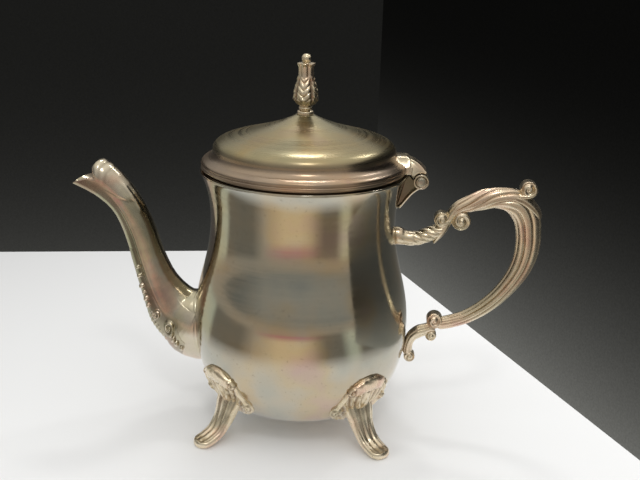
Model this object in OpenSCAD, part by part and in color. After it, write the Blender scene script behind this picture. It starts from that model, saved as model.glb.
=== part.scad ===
// Footed teapot in silver plate: a pear-shaped body on four leaf feet, with a cast
// spout and scroll handle and a hinged, domed lid.
// Millimetres. +Z is up, the table is at z = 0, the body turns about Z,
// the handle and the hinge are on +X and the spout is on -X.

/* [Body] */
// Height of the rim above the table
rim_z = 134; // [120:1:162]
// Outer radius of the rim
rim_r = 52; // [45:0.2:63]
// Height of the narrowest part of the neck
neck_z = 110; // [100:1:112]
// Outer radius of the neck
neck_r = 46.9; // [40:0.1:50]
// Height of the widest part of the belly
belly_z = 53; // [46:1:60]
// Outer radius of the belly
belly_r = 55.5; // [50:0.5:67]
// Height of the underside above the table
base_z = 12; // [9:0.5:15]
// Radius of the flat underside
base_r = 33; // [27:0.5:38]
// Thickness of the body's sheet metal
body_wall = 1.2; // [0.8:0.1:1.6]
// Width of the thickened rim
rim_w = 2.4; // [1.8:0.1:3]
// Radius of the hole in the underside that the base plate closes
base_hole_r = 26; // [20:0.5:28]
// Thickness of the base plate
base_plate_t = 1; // [0.6:0.1:1.5]

/* [Strainer] */
// Radius of each strainer hole behind the spout
strainer_hole_r = 1.8; // [1:0.1:2.4]
// Distance between neighbouring strainer holes
strainer_pitch = 7; // [5.5:0.1:8]

/* [Lid] */
// Distance of the lid's outer lip inside the rim's outer edge
lid_inset = 0.6; // [0.2:0.1:1.2]
// Height of the gap between the lid's flat ring and the rim
lid_seat_gap = 0.25; // [0.1:0.05:0.5]
// Rise from the rim to the lid's top
lid_rise = 27.4; // [24:0.1:33]
// Thickness of the lid's sheet metal
lid_wall = 1; // [0.7:0.1:1.3]
// Thickness of the flat ring that closes the lid's flange
bezel_t = 0.9; // [0.6:0.1:1.4]
// Depth of the collar that drops into the mouth
collar_depth = 5; // [3:0.5:7]
// Thickness of that collar
collar_t = 1; // [0.7:0.1:1.4]

/* [Finial] */
// Height of the finial from the lid's top to the tip of its ball
finial_h = 29.6; // [26:0.1:35]
// Widest radius of the finial's leaf bud
bud_r = 5.9; // [5:0.1:7]
// Radius of the ball at the tip
ball_r = 2.4; // [2:0.1:2.8]
// Radius of the finial's base ring
finial_ring_r = 4.1; // [3.6:0.1:4.6]
// Radius of the threaded stud under the finial
stud_r = 1.5; // [1.2:0.1:1.8]
// Radius of the washer under the nut
washer_r = 3.9; // [3.4:0.1:4.4]
// Thickness of the washer
washer_t = 0.6; // [0.4:0.1:0.9]
// Width of the nut across its flats
nut_w = 5.5; // [5:0.1:6]
// Thickness of the nut
nut_t = 2.4; // [2:0.1:3]

/* [Hinge] */
// Distance of the hinge axis outside the rim
hinge_out = 6.5; // [6:0.1:8]
// Depth of the hinge axis below the rim
hinge_drop = 2.6; // [2:0.1:3.5]
// Outer radius of the knuckles
knuckle_r = 3.6; // [3.2:0.1:4]
// Radius of the hinge pin
pin_r = 1.3; // [1:0.1:1.6]
// Width of the whole hinge along its pin
hinge_w = 14; // [12:0.5:18]
// Width of the lid's single knuckle
lid_knuckle_w = 4.6; // [4:0.1:6]
// Radius of the pin's riveted heads
pin_head_r = 2.2; // [2:0.1:2.6]
// Thickness of the pin's riveted heads
pin_head_t = 0.8; // [0.5:0.1:1.2]
// Height of the bracket where it meets the neck
bracket_h = 16; // [13:0.5:18]

/* [Spout] */
// Thickness of the spout's wall
spout_wall = 1.4; // [1:0.1:1.8]
// Half the height of the spout where it leaves the belly
spout_root_h = 20.2; // [17:0.1:21]
// Half the width of the spout where it leaves the belly
spout_root_w = 14.5; // [12:0.5:17]
// Thickness of the beaded scroll band under the spout
scroll_t = 1.5; // [0.8:0.1:2.4]

/* [Handle] */
// Half the width of the handle's grip, across the pot
grip_w = 4.6; // [3.8:0.1:5.6]
// Radius of the scroll that serves as a thumb rest
thumb_r = 4.1; // [3.4:0.1:4.8]

/* [Feet] */
// Number of degrees between a foot and the handle's plane
foot_turn = 45; // [40:1:50]
// Thickness of the leaf that is soldered to the belly
leaf_t = 2.4; // [1.8:0.1:3.2]
// Half the width of the spoon-shaped toe
toe_w = 5.1; // [4.4:0.1:6]
// Distance from the belly out to the tip of a toe
toe_out = 11.5; // [9:0.5:15]

/* [Clearances] */
// Radial clearance of the lid's collar in the narrowest part of the mouth
collar_gap = 2.2; // [1.2:0.1:3]
// Gap left between soldered faces
solder_gap = 0.05; // [0.02:0.01:0.1]
// Radial clearance of the hinge pin in its knuckles
pin_gap = 0.05; // [0.02:0.01:0.1]
// Side gap between neighbouring knuckles
knuckle_gap = 0.3; // [0.2:0.05:0.5]
// Radial clearance of the stud in the lid
stud_gap = 0.1; // [0.05:0.05:0.2]
// Radial clearance of the stud in its nut
thread_gap = 0.05; // [0.02:0.01:0.1]

/* [Hidden] */
$fn = 96;
eps = 0.01;
sweep_sides = 20;
silver = "silver";
dark_silver = "darkgray";

// ---- curves ----

// Point at t on the cubic Bezier curve through p[0] to p[3]
function bezier(p, t) = pow(1 - t, 3) * p[0] + 3 * t * pow(1 - t, 2) * p[1]
    + 3 * t * t * (1 - t) * p[2] + pow(t, 3) * p[3];
function bezier_points(p, n) = [for (i = [0 : n - 1]) bezier(p, i / n)];

// Point at t between b and c on the Catmull-Rom spline a, b, c, d
function spline(a, b, c, d, t) = 0.5 * (2 * b + (c - a) * t
    + (2 * a - 5 * b + 4 * c - d) * t * t + (3 * b - a - 3 * c + d) * t * t * t);
function at(list, i) = list[min(max(i, 0), len(list) - 1)];
function smooth(list, n) = concat(
    [for (i = [0 : len(list) - 2], j = [0 : n - 1])
        spline(at(list, i - 1), list[i], list[i + 1], at(list, i + 2), j / n)],
    [list[len(list) - 1]]);

// Unit vector to the left of the path at point i, and the path moved that way by d
function left(pts, i) = let (v = at(pts, i + 1) - at(pts, i - 1)) [-v[1], v[0]] / norm(v);
function moved(pts, d) = [for (i = [0 : len(pts) - 1]) pts[i] + d * left(pts, i)];

// ---- body profile, as [radius, height] ----

base_edge = [base_r, base_z];
belly_point = [belly_r, belly_z];
neck_point = [neck_r, neck_z];
rim_point = [rim_r, rim_z];
neck_bow = 0.42;
body_line = concat(
    bezier_points([base_edge, [base_r + 0.6 * (belly_r - base_r), base_z + 0.3],
        [belly_r, belly_z - 0.5 * (belly_z - base_z)], belly_point], 12),
    bezier_points([belly_point, [belly_r, belly_z + neck_bow * (neck_z - belly_z)],
        [neck_r, neck_z - neck_bow * (neck_z - belly_z)], neck_point], 12),
    bezier_points([neck_point, [neck_r, neck_z + 0.4 * (rim_z - neck_z)],
        [rim_r - 2.7, rim_z - 4.5], rim_point], 8),
    [rim_point]);
body_table = [for (p = body_line) [p[1], p[0]]];
function body_r(z) = lookup(z, body_table);
base_seat = 3;
rim_inner_r = rim_r - rim_w;
rim_edge = 0.5;
// Share of the strainer's height that its width takes
strainer_squash = 0.8;

// Everything inside the body's outer face, grown by gap
module body_envelope(gap) {
    grown = moved(body_line, -gap);
    top = [grown[len(grown) - 1][0], rim_z + gap];
    rotate_extrude()
        polygon(concat([[0, base_z - gap], [base_r, base_z - gap]], grown, [top, [0, rim_z + gap]]));
}

module body() {
    inner = [for (p = moved(body_line, body_wall)) if (p[1] > base_z + body_wall
        && p[1] < rim_z - rim_w) p];
    outer = [for (p = body_line) if (p[1] < rim_z - rim_edge) p];
    color(silver)
    difference() {
        rotate_extrude()
            polygon(concat([[base_hole_r, base_z]], outer,
                [[rim_r, rim_z - rim_edge], [rim_r - rim_edge, rim_z], [rim_inner_r, rim_z],
                [rim_inner_r, rim_z - rim_w + rim_edge]],
                [for (i = [len(inner) - 1 : -1 : 0]) inner[i]],
                [[base_hole_r + base_seat + 0.5, base_z + body_wall],
                [base_hole_r, base_z + body_wall]]));
        for (ring = [0 : 2], k = [0 : max(0, 6 * ring - 1)])
            translate([0, ring * strainer_pitch * strainer_squash * sin(60 * k / max(ring, 1)),
                spout_root_z + ring * strainer_pitch * cos(60 * k / max(ring, 1))])
                rotate([0, -90, 0])
                    cylinder(h = belly_r + 1, r = strainer_hole_r);
    }
}

module base_plate() {
    color(silver)
    translate([0, 0, base_z + body_wall + solder_gap])
        cylinder(h = base_plate_t, r = base_hole_r + base_seat);
}

// ---- sweeps in the plane y = 0 ----

// A station is [x, z, half height in the plane, half width across it]. A ring of points
// stands square to the path at each station, and grown adds to both halves.
function heading(st, i) = let (v = at(st, i + 1) - at(st, i - 1)) atan2(v[1], v[0]);
function ring(st, i, grown) = let (a = heading(st, i), s = st[i])
    [for (k = [0 : sweep_sides - 1]) let (t = 360 * k / sweep_sides,
        h = (s[2] + grown) * cos(t), w = (s[3] + grown) * sin(t))
        [s[0] - h * sin(a), w, s[1] + h * cos(a)]];
function wall_faces(rings, n) = [for (i = [0 : rings - 2], k = [0 : n - 1])
    let (a = i * n + k, b = i * n + (k + 1) % n) each [[a, b, b + n], [a, b + n, a + n]]];

// Closed solid through rings of n points each
module skin(points, rings, n) {
    last = (rings - 1) * n;
    polyhedron(points, concat([[for (k = [n - 1 : -1 : 0]) k]], wall_faces(rings, n),
        [[for (k = [0 : n - 1]) last + k]]));
}

module sweep(st, grown = 0) {
    skin([for (i = [0 : len(st) - 1]) each ring(st, i, grown)], len(st), sweep_sides);
}

// ---- spout ----

spout_root_z = 47.8;
// Stations from inside the belly to the pouring lip, measured out from the belly
spout_path = smooth([for (s = [
    [-6, spout_root_z, spout_root_h + 0.6, spout_root_w + 0.6],
    [1, spout_root_z + 0.4, spout_root_h, spout_root_w],
    [6.2, 51.5, 17.2, 13.4],
    [12.9, 57.1, 14.4, 11],
    [20, 69.6, 10.4, 8.8],
    [25.2, 84.1, 8.7, 7.8],
    [30.2, 100.5, 8.3, 7.6],
    [37, 113.5, 8, 7.6],
    [47.5, 124, 9.2, 8],
    [60.5, 130.9, 9.8, 8]]) [-belly_r - s[0], s[1], s[2], s[3]]], 3);
// Side view of what is cut away above the lip and in front of the hood
lip_x = -belly_r - 62.8;
lip_z = 122.6;
mouth_cut = [[lip_x, lip_z - 20], [lip_x, lip_z], [lip_x + 12, lip_z + 4],
    [lip_x + 12.5, lip_z + 9.4], [lip_x + 15, lip_z + 12.6], [lip_x + 18, lip_z + 13.8],
    [lip_x + 18, lip_z + 30], [lip_x - 20, lip_z + 30], [lip_x - 20, lip_z - 20]];

module spout() {
    color(silver)
    difference() {
        sweep(spout_path);
        sweep([for (s = spout_path) s - [0, 0, spout_wall, spout_wall]]);
        body_envelope(solder_gap);
        rotate([90, 0, 0])
            linear_extrude(height = 40, center = true)
                polygon(mouth_cut);
    }
}

// Band of beads and scrolls along the spout's underside: each ring runs along the spout's
// face from one edge of the band to the other and back at the band's thickness
scroll_first = 4;
scroll_last = 15;
scroll_steps = 4;
scroll_half_angle = 0.5 * scroll_steps * 360 / sweep_sides;
function band_point(st, i, t, grown) = let (a = heading(st, i), s = st[i],
    h = (s[2] + grown) * cos(t), w = (s[3] + grown) * sin(t))
    [s[0] - h * sin(a), w, s[1] + h * cos(a)];
function band_ring(st, i) = let (edge = scroll_half_angle, n = scroll_steps) concat(
    [for (k = [0 : n]) band_point(st, i, -edge + 2 * edge * k / n, solder_gap)],
    [for (k = [n : -1 : 0]) band_point(st, i, -edge + 2 * edge * k / n,
        solder_gap + scroll_t * (0.5 + 0.5 * sin(180 * k / n)))]);

module spout_scroll() {
    n = 2 * (scroll_steps + 1);
    color(dark_silver)
    skin([for (i = [scroll_first : scroll_last]) each band_ring(spout_path, i)],
        scroll_last - scroll_first + 1, n);
}

// ---- handle ----

arm_z = 101.5;
function out(list) = [for (s = list) [belly_r + s[0], s[1], s[2], s[3]]];
// The stem runs from the neck under the first curl, through the pinch between the two curls,
// over the top of the grip and down to the lower roll
handle_stem = smooth(concat(
    [[body_r(arm_z) - 3, arm_z, 6.4, 5.4], [body_r(arm_z) + 0.6, arm_z, 5.2, 4.6]],
    out([
        [-4, 100.7, 3.9, 3.8],
        [0, 100.3, 3.8, 3.7],
        [4, 100.9, 3.7, 3.8],
        [8, 102.7, 3.9, 3.9],
        [12, 104.5, 3.7, 3.8],
        [15.5, 107, 2.7, 3.6],
        [18, 111.2, 2.5, 3.6],
        [20, 114.8, 2.8, 3.8],
        [23, 117.6, 3.4, grip_w - 0.6],
        [27.5, 119.6, 4.2, grip_w - 0.2],
        [34, 122, 5.1, grip_w],
        [39.8, 123.4, 5.3, grip_w],
        [44.8, 123.3, 5.6, grip_w],
        [49.6, 122.1, 6.5, grip_w],
        [54, 119, 7, grip_w],
        [57, 113.5, 6.7, grip_w],
        [58.3, 106.5, 6.3, grip_w],
        [58.6, 100.2, 6.2, grip_w],
        [57.9, 93.6, 5.9, grip_w],
        [55.7, 86.5, 5.4, grip_w],
        [51.8, 79.2, 4.8, grip_w - 0.1],
        [45.8, 71.2, 4.3, grip_w - 0.3],
        [38.6, 64.4, 3.9, grip_w - 0.5],
        [30.8, 59.2, 3.6, grip_w - 0.7],
        [24, 56.4, 3.5, grip_w - 0.8],
        [18.2, 54.8, 3.4, grip_w - 0.9],
        [15, 54.6, 3, grip_w - 1]])), 2);
// The small C-scroll under the lower roll, which ends on the belly
handle_foot = smooth(out([
    [15, 53.2, 2.6, 3.4],
    [10.4, 50.8, 3.1, 3.4],
    [6.6, 49.3, 3.3, 3.4],
    [3.3, 46.6, 2.9, 3.2],
    [1.7, 43, 2.5, 3],
    [1.2, 39.3, 2.6, 3],
    [1.5, 35.8, 2.3, 3]]), 3);
// Rolls at the ends of the scrolls: [distance outside the belly, height, radius, half width]
handle_curls = [
    [14.5, 111.5, 3.9, 4.4],
    [24.2, 111.2, 4.8, 4.6],
    [56.2, 129, thumb_r, 4.6],
    [14.4, 57, 4.1, 4.4],
    [13, 48.1, 2.9, 3.6],
    [2.4, 35.2, 2.9, 3.4],
    [10.9, 99.9, 2, 3.2],
    [62.2, 116.6, 1.8, 3]];

module curl(c) {
    translate([belly_r + c[0], 0, c[1]])
    rotate([90, 0, 0])
    hull() {
        cylinder(h = 1.2 * c[3], r = c[2], center = true, $fn = 28);
        cylinder(h = 2 * c[3], r = 0.62 * c[2], center = true, $fn = 28);
    }
}

module handle() {
    color(silver)
    difference() {
        union() {
            sweep(handle_stem);
            sweep(handle_foot);
            for (c = handle_curls)
                curl(c);
        }
        body_envelope(solder_gap);
    }
}

// ---- feet ----

// Right half of the leaf's outline, as [across, height above the underside]
leaf_half = [for (p = [[0, 29], [4.5, 28.4], [9, 26], [11, 24.6], [13.6, 21.6], [14.8, 18.4],
    [16.2, 14.6], [17.8, 10.8], [16.8, 7.4], [13, 5], [8.6, 3.4], [5, 1.6], [0, 1]])
    [p[0], base_z + p[1]]];
leaf_outline = concat(leaf_half,
    [for (i = [len(leaf_half) - 2 : -1 : 1]) [-leaf_half[i][0], leaf_half[i][1]]]);
toe_reach = belly_r + toe_out;
// Stations of the shank and toe, as for the other sweeps, from behind the leaf to the tip
function foot_path() = smooth([
    [body_r(base_z + 12) - 2.6, base_z + 13, 3, 7],
    [body_r(base_z + 7) + 1.4, base_z + 6, 2.4, 6],
    [body_r(base_z + 5.5) + 3.6, base_z + 0.5, 2, toe_w - 0.3],
    [toe_reach - 15, 7.4, 1.8, toe_w - 0.2],
    [toe_reach - 10, 3.8, 1.8, toe_w],
    [toe_reach - 5, 1.7, 1.9, toe_w],
    [toe_reach - 2, 1.4, 1.6, toe_w - 1.2],
    [toe_reach, 1.3, 1.2, 2]], 2);

module foot(turn) {
    color(silver)
    rotate([0, 0, turn])
    intersection() {
        difference() {
            union() {
                intersection() {
                    body_envelope(leaf_t);
                    rotate([90, 0, 90])
                        linear_extrude(height = belly_r + leaf_t + 1)
                            polygon(leaf_outline);
                }
                sweep(foot_path());
            }
            body_envelope(solder_gap);
        }
        translate([0, -40, 0])
            cube([120, 80, 80]);
    }
}

module foot_front_left() {
    foot(180 + foot_turn);
}
module foot_front_right() {
    foot(-foot_turn);
}
module foot_back_left() {
    foot(180 - foot_turn);
}
module foot_back_right() {
    foot(foot_turn);
}

// ---- lid ----

lid_r = rim_r - lid_inset;
mouth_r = min(rim_inner_r, body_r(rim_z - collar_depth) - body_wall);
collar_r = mouth_r - collar_gap;
bezel_z = rim_z + lid_seat_gap;
lid_base_z = bezel_z + bezel_t + solder_gap;
lid_top_z = rim_z + lid_rise;
lid_flat_r = 4.8;
wall_r = lid_r - 5.8;
dome_z = lid_base_z + 11;
// Outer face, from the lip up over the flange, the upright wall and the dome
lid_line = concat(
    [[lid_r - 0.5, lid_base_z], [lid_r, lid_base_z + 0.4], [lid_r, lid_base_z + 1],
    [lid_r - 0.5, lid_base_z + 1.5], [lid_r - 0.3, lid_base_z + 2.1]],
    bezier_points([[lid_r - 0.3, lid_base_z + 2.6], [lid_r - 0.7, lid_base_z + 4],
        [lid_r - 2.6, lid_base_z + 4.6], [lid_r - 3.6, lid_base_z + 5.2]], 5),
    bezier_points([[lid_r - 3.6, lid_base_z + 5.2], [lid_r - 5.2, lid_base_z + 6.2],
        [wall_r, lid_base_z + 7.4], [wall_r, lid_base_z + 8.8]], 5),
    bezier_points([[wall_r, lid_base_z + 8.8], [wall_r, dome_z + 2], [wall_r - 4, dome_z + 3.6],
        [wall_r - 11, dome_z + 5.4]], 8),
    bezier_points([[wall_r - 11, dome_z + 5.4], [wall_r - 22, dome_z + 8.2],
        [lid_flat_r + 9, lid_top_z - 4.6], [lid_flat_r, lid_top_z]], 10),
    [[lid_flat_r, lid_top_z]]);

// Everything inside the lid's outer face, grown by gap
module lid_envelope(gap) {
    grown = moved(lid_line, -gap);
    rotate_extrude()
        polygon(concat([[0, lid_base_z], [lid_r - 0.5 + gap, lid_base_z]],
            [for (p = grown) if (p[1] > lid_base_z + eps) p], [[0, lid_top_z + gap]]));
}

module lid() {
    inner = [for (p = moved(lid_line, lid_wall)) if (p[1] > lid_base_z + 2 && p[0] > lid_flat_r) p];
    color(silver)
    difference() {
        rotate_extrude()
            polygon(concat(lid_line, [[0, lid_top_z], [0, lid_top_z - lid_wall],
                [lid_flat_r, lid_top_z - lid_wall]],
                [for (i = [len(inner) - 1 : -1 : 0]) inner[i]],
                [[lid_r - 1.3, lid_base_z + 1.8], [lid_r - 1.3, lid_base_z]]));
        translate([0, 0, lid_top_z - 2 * lid_wall])
            cylinder(h = 3 * lid_wall, r = stud_r + stud_gap);
    }
}

module lid_bezel() {
    color(silver)
    rotate_extrude()
        polygon([[collar_r - collar_t, bezel_z - collar_depth], [collar_r, bezel_z - collar_depth],
            [collar_r, bezel_z], [lid_r - 0.7, bezel_z], [lid_r - 0.7, bezel_z + bezel_t],
            [collar_r - collar_t, bezel_z + bezel_t]]);
}

// ---- finial, its washer and nut ----

finial_z = lid_top_z + solder_gap;
ball_z = finial_z + finial_h - ball_r;
module finial() {
    bud_base = finial_z + 3.4;
    neck_top = finial_z + 19.4;
    color(silver)
    union() {
        rotate_extrude()
            polygon(concat([[0, finial_z], [finial_ring_r - 0.5, finial_z],
                [finial_ring_r, finial_z + 0.6], [finial_ring_r, finial_z + 1.6],
                [finial_ring_r - 0.5, finial_z + 2.2], [2.9, finial_z + 2.6]],
                bezier_points([[2.9, bud_base - 0.2], [bud_r + 1, bud_base + 2],
                    [bud_r + 0.6, bud_base + 7], [3.3, neck_top]], 12),
                bezier_points([[3.3, neck_top], [3.2, neck_top + 1.6],
                    [3.6, ball_z - 4], [3.8, ball_z - 2.4]], 5),
                [[3.8, ball_z - 2.4], [1.4, ball_z - 1.6], [0, ball_z - 1.6]]));
        translate([0, 0, ball_z])
            sphere(r = ball_r);
        translate([0, 0, stud_end_z])
            cylinder(h = finial_z - stud_end_z + eps, r = stud_r);
    }
}

washer_z = lid_top_z - lid_wall - solder_gap - washer_t;
nut_z = washer_z - solder_gap - nut_t;
stud_end_z = nut_z - 1.2;
module finial_washer() {
    color("gold")
    translate([0, 0, washer_z])
        difference() {
            cylinder(h = washer_t, r = washer_r);
            translate([0, 0, -1])
                cylinder(h = washer_t + 2, r = stud_r + stud_gap);
        }
}

module finial_nut() {
    color("gold")
    translate([0, 0, nut_z])
        difference() {
            cylinder(h = nut_t, r = nut_w / 2 / cos(30), $fn = 6);
            translate([0, 0, -1])
                cylinder(h = nut_t + 2, r = stud_r + thread_gap);
        }
}

// ---- hinge ----

hinge_x = rim_r + hinge_out;
hinge_z = rim_z - hinge_drop;
bracket_foot_z = hinge_z - bracket_h;
knuckle_clear = 0.5;
// Lean of the bracket's sides towards its foot
bracket_taper = 32;

module along_pin(h, r) {
    translate([hinge_x, 0, hinge_z])
    rotate([90, 0, 0])
        cylinder(h = h, r = r, center = true);
}

module side_plate(points, w) {
    rotate([90, 0, 0])
        linear_extrude(height = w, center = true)
            polygon(points);
}

// Curved web from the neck to the two outer knuckles
module hinge_bracket() {
    under = bezier_points([[body_r(bracket_foot_z) + 0.6, bracket_foot_z],
        [body_r(bracket_foot_z) + 3.4, bracket_foot_z + 4.4],
        [hinge_x - 2.6, hinge_z - 5.6], [hinge_x + 2, hinge_z - 3]], 8);
    color(silver)
    difference() {
        union() {
            side_plate(concat([[body_r(bracket_foot_z) - 3, bracket_foot_z]], under,
                [[hinge_x + 2, hinge_z - 3], [hinge_x, hinge_z],
                [hinge_x - 3.4, hinge_z + 0.6], [rim_r - 4, hinge_z - 1.6]]), hinge_w);
            along_pin(hinge_w, knuckle_r);
        }
        along_pin(lid_knuckle_w + 2 * knuckle_gap, knuckle_r + knuckle_clear);
        along_pin(hinge_w + 2, pin_r + pin_gap);
        body_envelope(solder_gap);
        for (side = [-1, 1])
            translate([rim_r - 8, side * (hinge_w / 2 + 6), bracket_foot_z - 9])
            rotate([side * bracket_taper, 0, 0])
                cube([30, 12, 22], center = true);
    }
}

module hinge_pin() {
    color("gold")
    union() {
        along_pin(hinge_w + 2 * (solder_gap + pin_head_t), pin_r);
        for (side = [-1, 1])
            translate([0, side * (hinge_w / 2 + solder_gap + pin_head_t / 2), 0])
                along_pin(pin_head_t, pin_head_r);
    }
}

// Cast strap on the lid's flange that carries the middle knuckle
module lid_strap() {
    top = lid_base_z + 6.8;
    color(silver)
    difference() {
        union() {
            intersection() {
                side_plate([[wall_r - 2, lid_base_z + 2], [wall_r - 2, top], [rim_r + 0.6, top - 0.6],
                    [rim_r + 2.6, top - 2.6], [rim_r + 2.6, lid_base_z + 0.6],
                    [rim_r, lid_base_z + 0.6]], hinge_w - 2);
                translate([wall_r - 2, 0, 0])
                    cylinder(h = rim_z * 2, r = 9.6);
            }
            side_plate([[wall_r - 2, lid_base_z + 2], [wall_r - 2, top], [rim_r + 0.6, top - 0.6],
                [hinge_x + 2, hinge_z + 3], [hinge_x, hinge_z], [hinge_x - 2.8, hinge_z - 0.6],
                [rim_r + 1.2, lid_base_z + 0.2]], lid_knuckle_w);
            along_pin(lid_knuckle_w, knuckle_r);
        }
        along_pin(hinge_w, pin_r + pin_gap);
        lid_envelope(solder_gap);
    }
}

body();
base_plate();
spout();
spout_scroll();
handle();
foot_front_left();
foot_front_right();
foot_back_left();
foot_back_right();
hinge_bracket();
hinge_pin();
lid();
lid_bezel();
lid_strap();
finial();
finial_washer();
finial_nut();
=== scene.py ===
"""Looks of a footed teapot in tarnished silver plate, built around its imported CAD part.

Every surface is worked out with numpy in millimetres and stored in metres: a profile turned about
an axis, a section carried along a path, or a relief raised on the belly. +Z is up, the table is at
z = 0, the pot turns about Z, the handle and the hinge are on +X and the spout is on -X.
"""
import math

import bmesh
import bpy
import numpy as np
from mathutils import Matrix, Vector


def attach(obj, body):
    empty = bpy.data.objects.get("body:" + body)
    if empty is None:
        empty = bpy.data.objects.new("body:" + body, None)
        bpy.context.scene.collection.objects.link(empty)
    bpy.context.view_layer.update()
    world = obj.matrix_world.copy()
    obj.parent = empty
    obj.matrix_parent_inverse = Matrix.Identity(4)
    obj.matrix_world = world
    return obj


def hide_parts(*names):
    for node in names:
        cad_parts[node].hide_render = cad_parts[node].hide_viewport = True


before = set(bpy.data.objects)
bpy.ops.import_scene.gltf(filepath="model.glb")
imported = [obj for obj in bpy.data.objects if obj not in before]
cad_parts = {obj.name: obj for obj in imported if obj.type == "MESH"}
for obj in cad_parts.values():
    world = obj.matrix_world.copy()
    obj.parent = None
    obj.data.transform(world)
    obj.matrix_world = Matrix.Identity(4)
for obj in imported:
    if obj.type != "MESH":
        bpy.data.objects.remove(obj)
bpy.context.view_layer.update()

bl_info = {
    "name": "Footed Teapot in Silver Plate",
    "version": (1, 0, 0),
    "blender": (4, 5, 0),
    "location": "View3D > Sidebar > Teapot",
    "description": "Builds the looks of a footed silver-plate teapot around its CAD part",
    "category": "Add Mesh",
}

MM = 0.001
TAU = 2 * math.pi


def linear(code):
    """Turns an sRGB hex value into linear red, green and blue."""
    v = np.array([int(code[i:i + 2], 16) for i in (0, 2, 4)]) / 255
    return tuple(np.where(v <= 0.04045, v / 12.92, ((v + 0.055) / 1.055) ** 2.4).tolist())


def rgba(code):
    """Turns an sRGB hex value into a linear colour with full opacity, as a socket takes it."""
    return (*linear(code), 1)


# ---- curves and meshes ----

def bezier(p, count, last=False):
    """Cubic Bezier through p[0] and p[3], pulled towards p[1] and p[2], at even parameter."""
    t = np.linspace(0, 1, count, endpoint=last)[:, None]
    a, b, c, d = np.asarray(p, float)
    return (1 - t) ** 3 * a + 3 * t * (1 - t) ** 2 * b + 3 * t * t * (1 - t) * c + t ** 3 * d


def spline(points, count):
    """Curve through rows of numbers: between two rows it is the cubic that leaves each with the
    slope from the row before to the row after."""
    p = np.asarray(points, float)
    t = np.linspace(0, len(p) - 1, count)
    i = np.minimum(t.astype(int), len(p) - 2)
    f = (t - i)[:, None]
    a, b, c, d = p[np.maximum(i - 1, 0)], p[i], p[i + 1], p[np.minimum(i + 2, len(p) - 1)]
    return 0.5 * (2 * b + (c - a) * f + (2 * a - 5 * b + 4 * c - d) * f ** 2
                  + (3 * b - a - 3 * c + d) * f ** 3)


def lengths(path):
    """Distance along a path of [x, z] from its first row to each row."""
    return np.concatenate([[0], np.cumsum(np.hypot(*np.diff(path[:, :2], axis=0).T))])


def even(rows, count):
    """The same path with its rows spread evenly along the length of its first two columns."""
    s = lengths(rows)
    at = np.linspace(0, s[-1], count)
    return np.stack([np.interp(at, s, c) for c in rows.T], axis=1)


def rounded(corners, n=5):
    """A polyline of [x, z, radius] whose corners are curved: each is the parabola that leaves one
    side and meets the other a radius away from the corner."""
    c = np.asarray(corners, float)
    out = []
    for k in range(len(c)):
        p, q, r = c[k - 1][:2], c[(k + 1) % len(c)][:2], c[k][2]
        here = c[k][:2]
        if r <= 0:
            out.append(here[None])
            continue
        a, b = p - here, q - here
        r = min(r, 0.49 * np.linalg.norm(a), 0.49 * np.linalg.norm(b))
        a, b = here + a / np.linalg.norm(a) * r, here + b / np.linalg.norm(b) * r
        t = np.linspace(0, 1, n)[:, None]
        out.append((1 - t) ** 2 * a + 2 * t * (1 - t) * here + t * t * b)
    return np.concatenate(out)


def bump(x, width):
    """A smooth hump of height 1 at x = 0 that has gone at about twice its width."""
    return np.exp(-(x / width) ** 2)


def ramp(x, a, b):
    """0 below a, 1 above b, and an S-shaped rise between them."""
    t = np.clip((x - a) / (b - a), 0, 1)
    return t * t * (3 - 2 * t)


def quarter(x):
    """0 at x = 0 and below, 1 at x = 1 and above, along a quarter circle between them."""
    return np.sqrt(np.clip(1 - (1 - np.clip(x, 0, 1)) ** 2, 0, 1))


def signed(x, power):
    """x to a power, with its sign kept."""
    return np.sign(x) * np.abs(x) ** power


def angles(count):
    """Even angles round a full turn, without the last one."""
    return np.linspace(0, TAU, count, endpoint=False)


def spiral(x, y, r, turns, start, inner, outer):
    """Ridge, from 0 to 1, of a spiral of radius r about x = y = 0, and the disc that it fills:
    1 inside, and falling to 0 between the shares inner and outer of r."""
    rho, phi = np.hypot(x, y), np.arctan2(y, x)
    return (0.5 + 0.5 * np.cos(TAU * (rho / r * turns - phi / TAU + start)),
            1 - ramp(rho, r * inner, r * outer))


def stacked(*parts):
    """Arrays brought to one shape and stacked along a new last axis, as x, y and z of points."""
    return np.stack(np.broadcast_arrays(*parts), -1)


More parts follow.
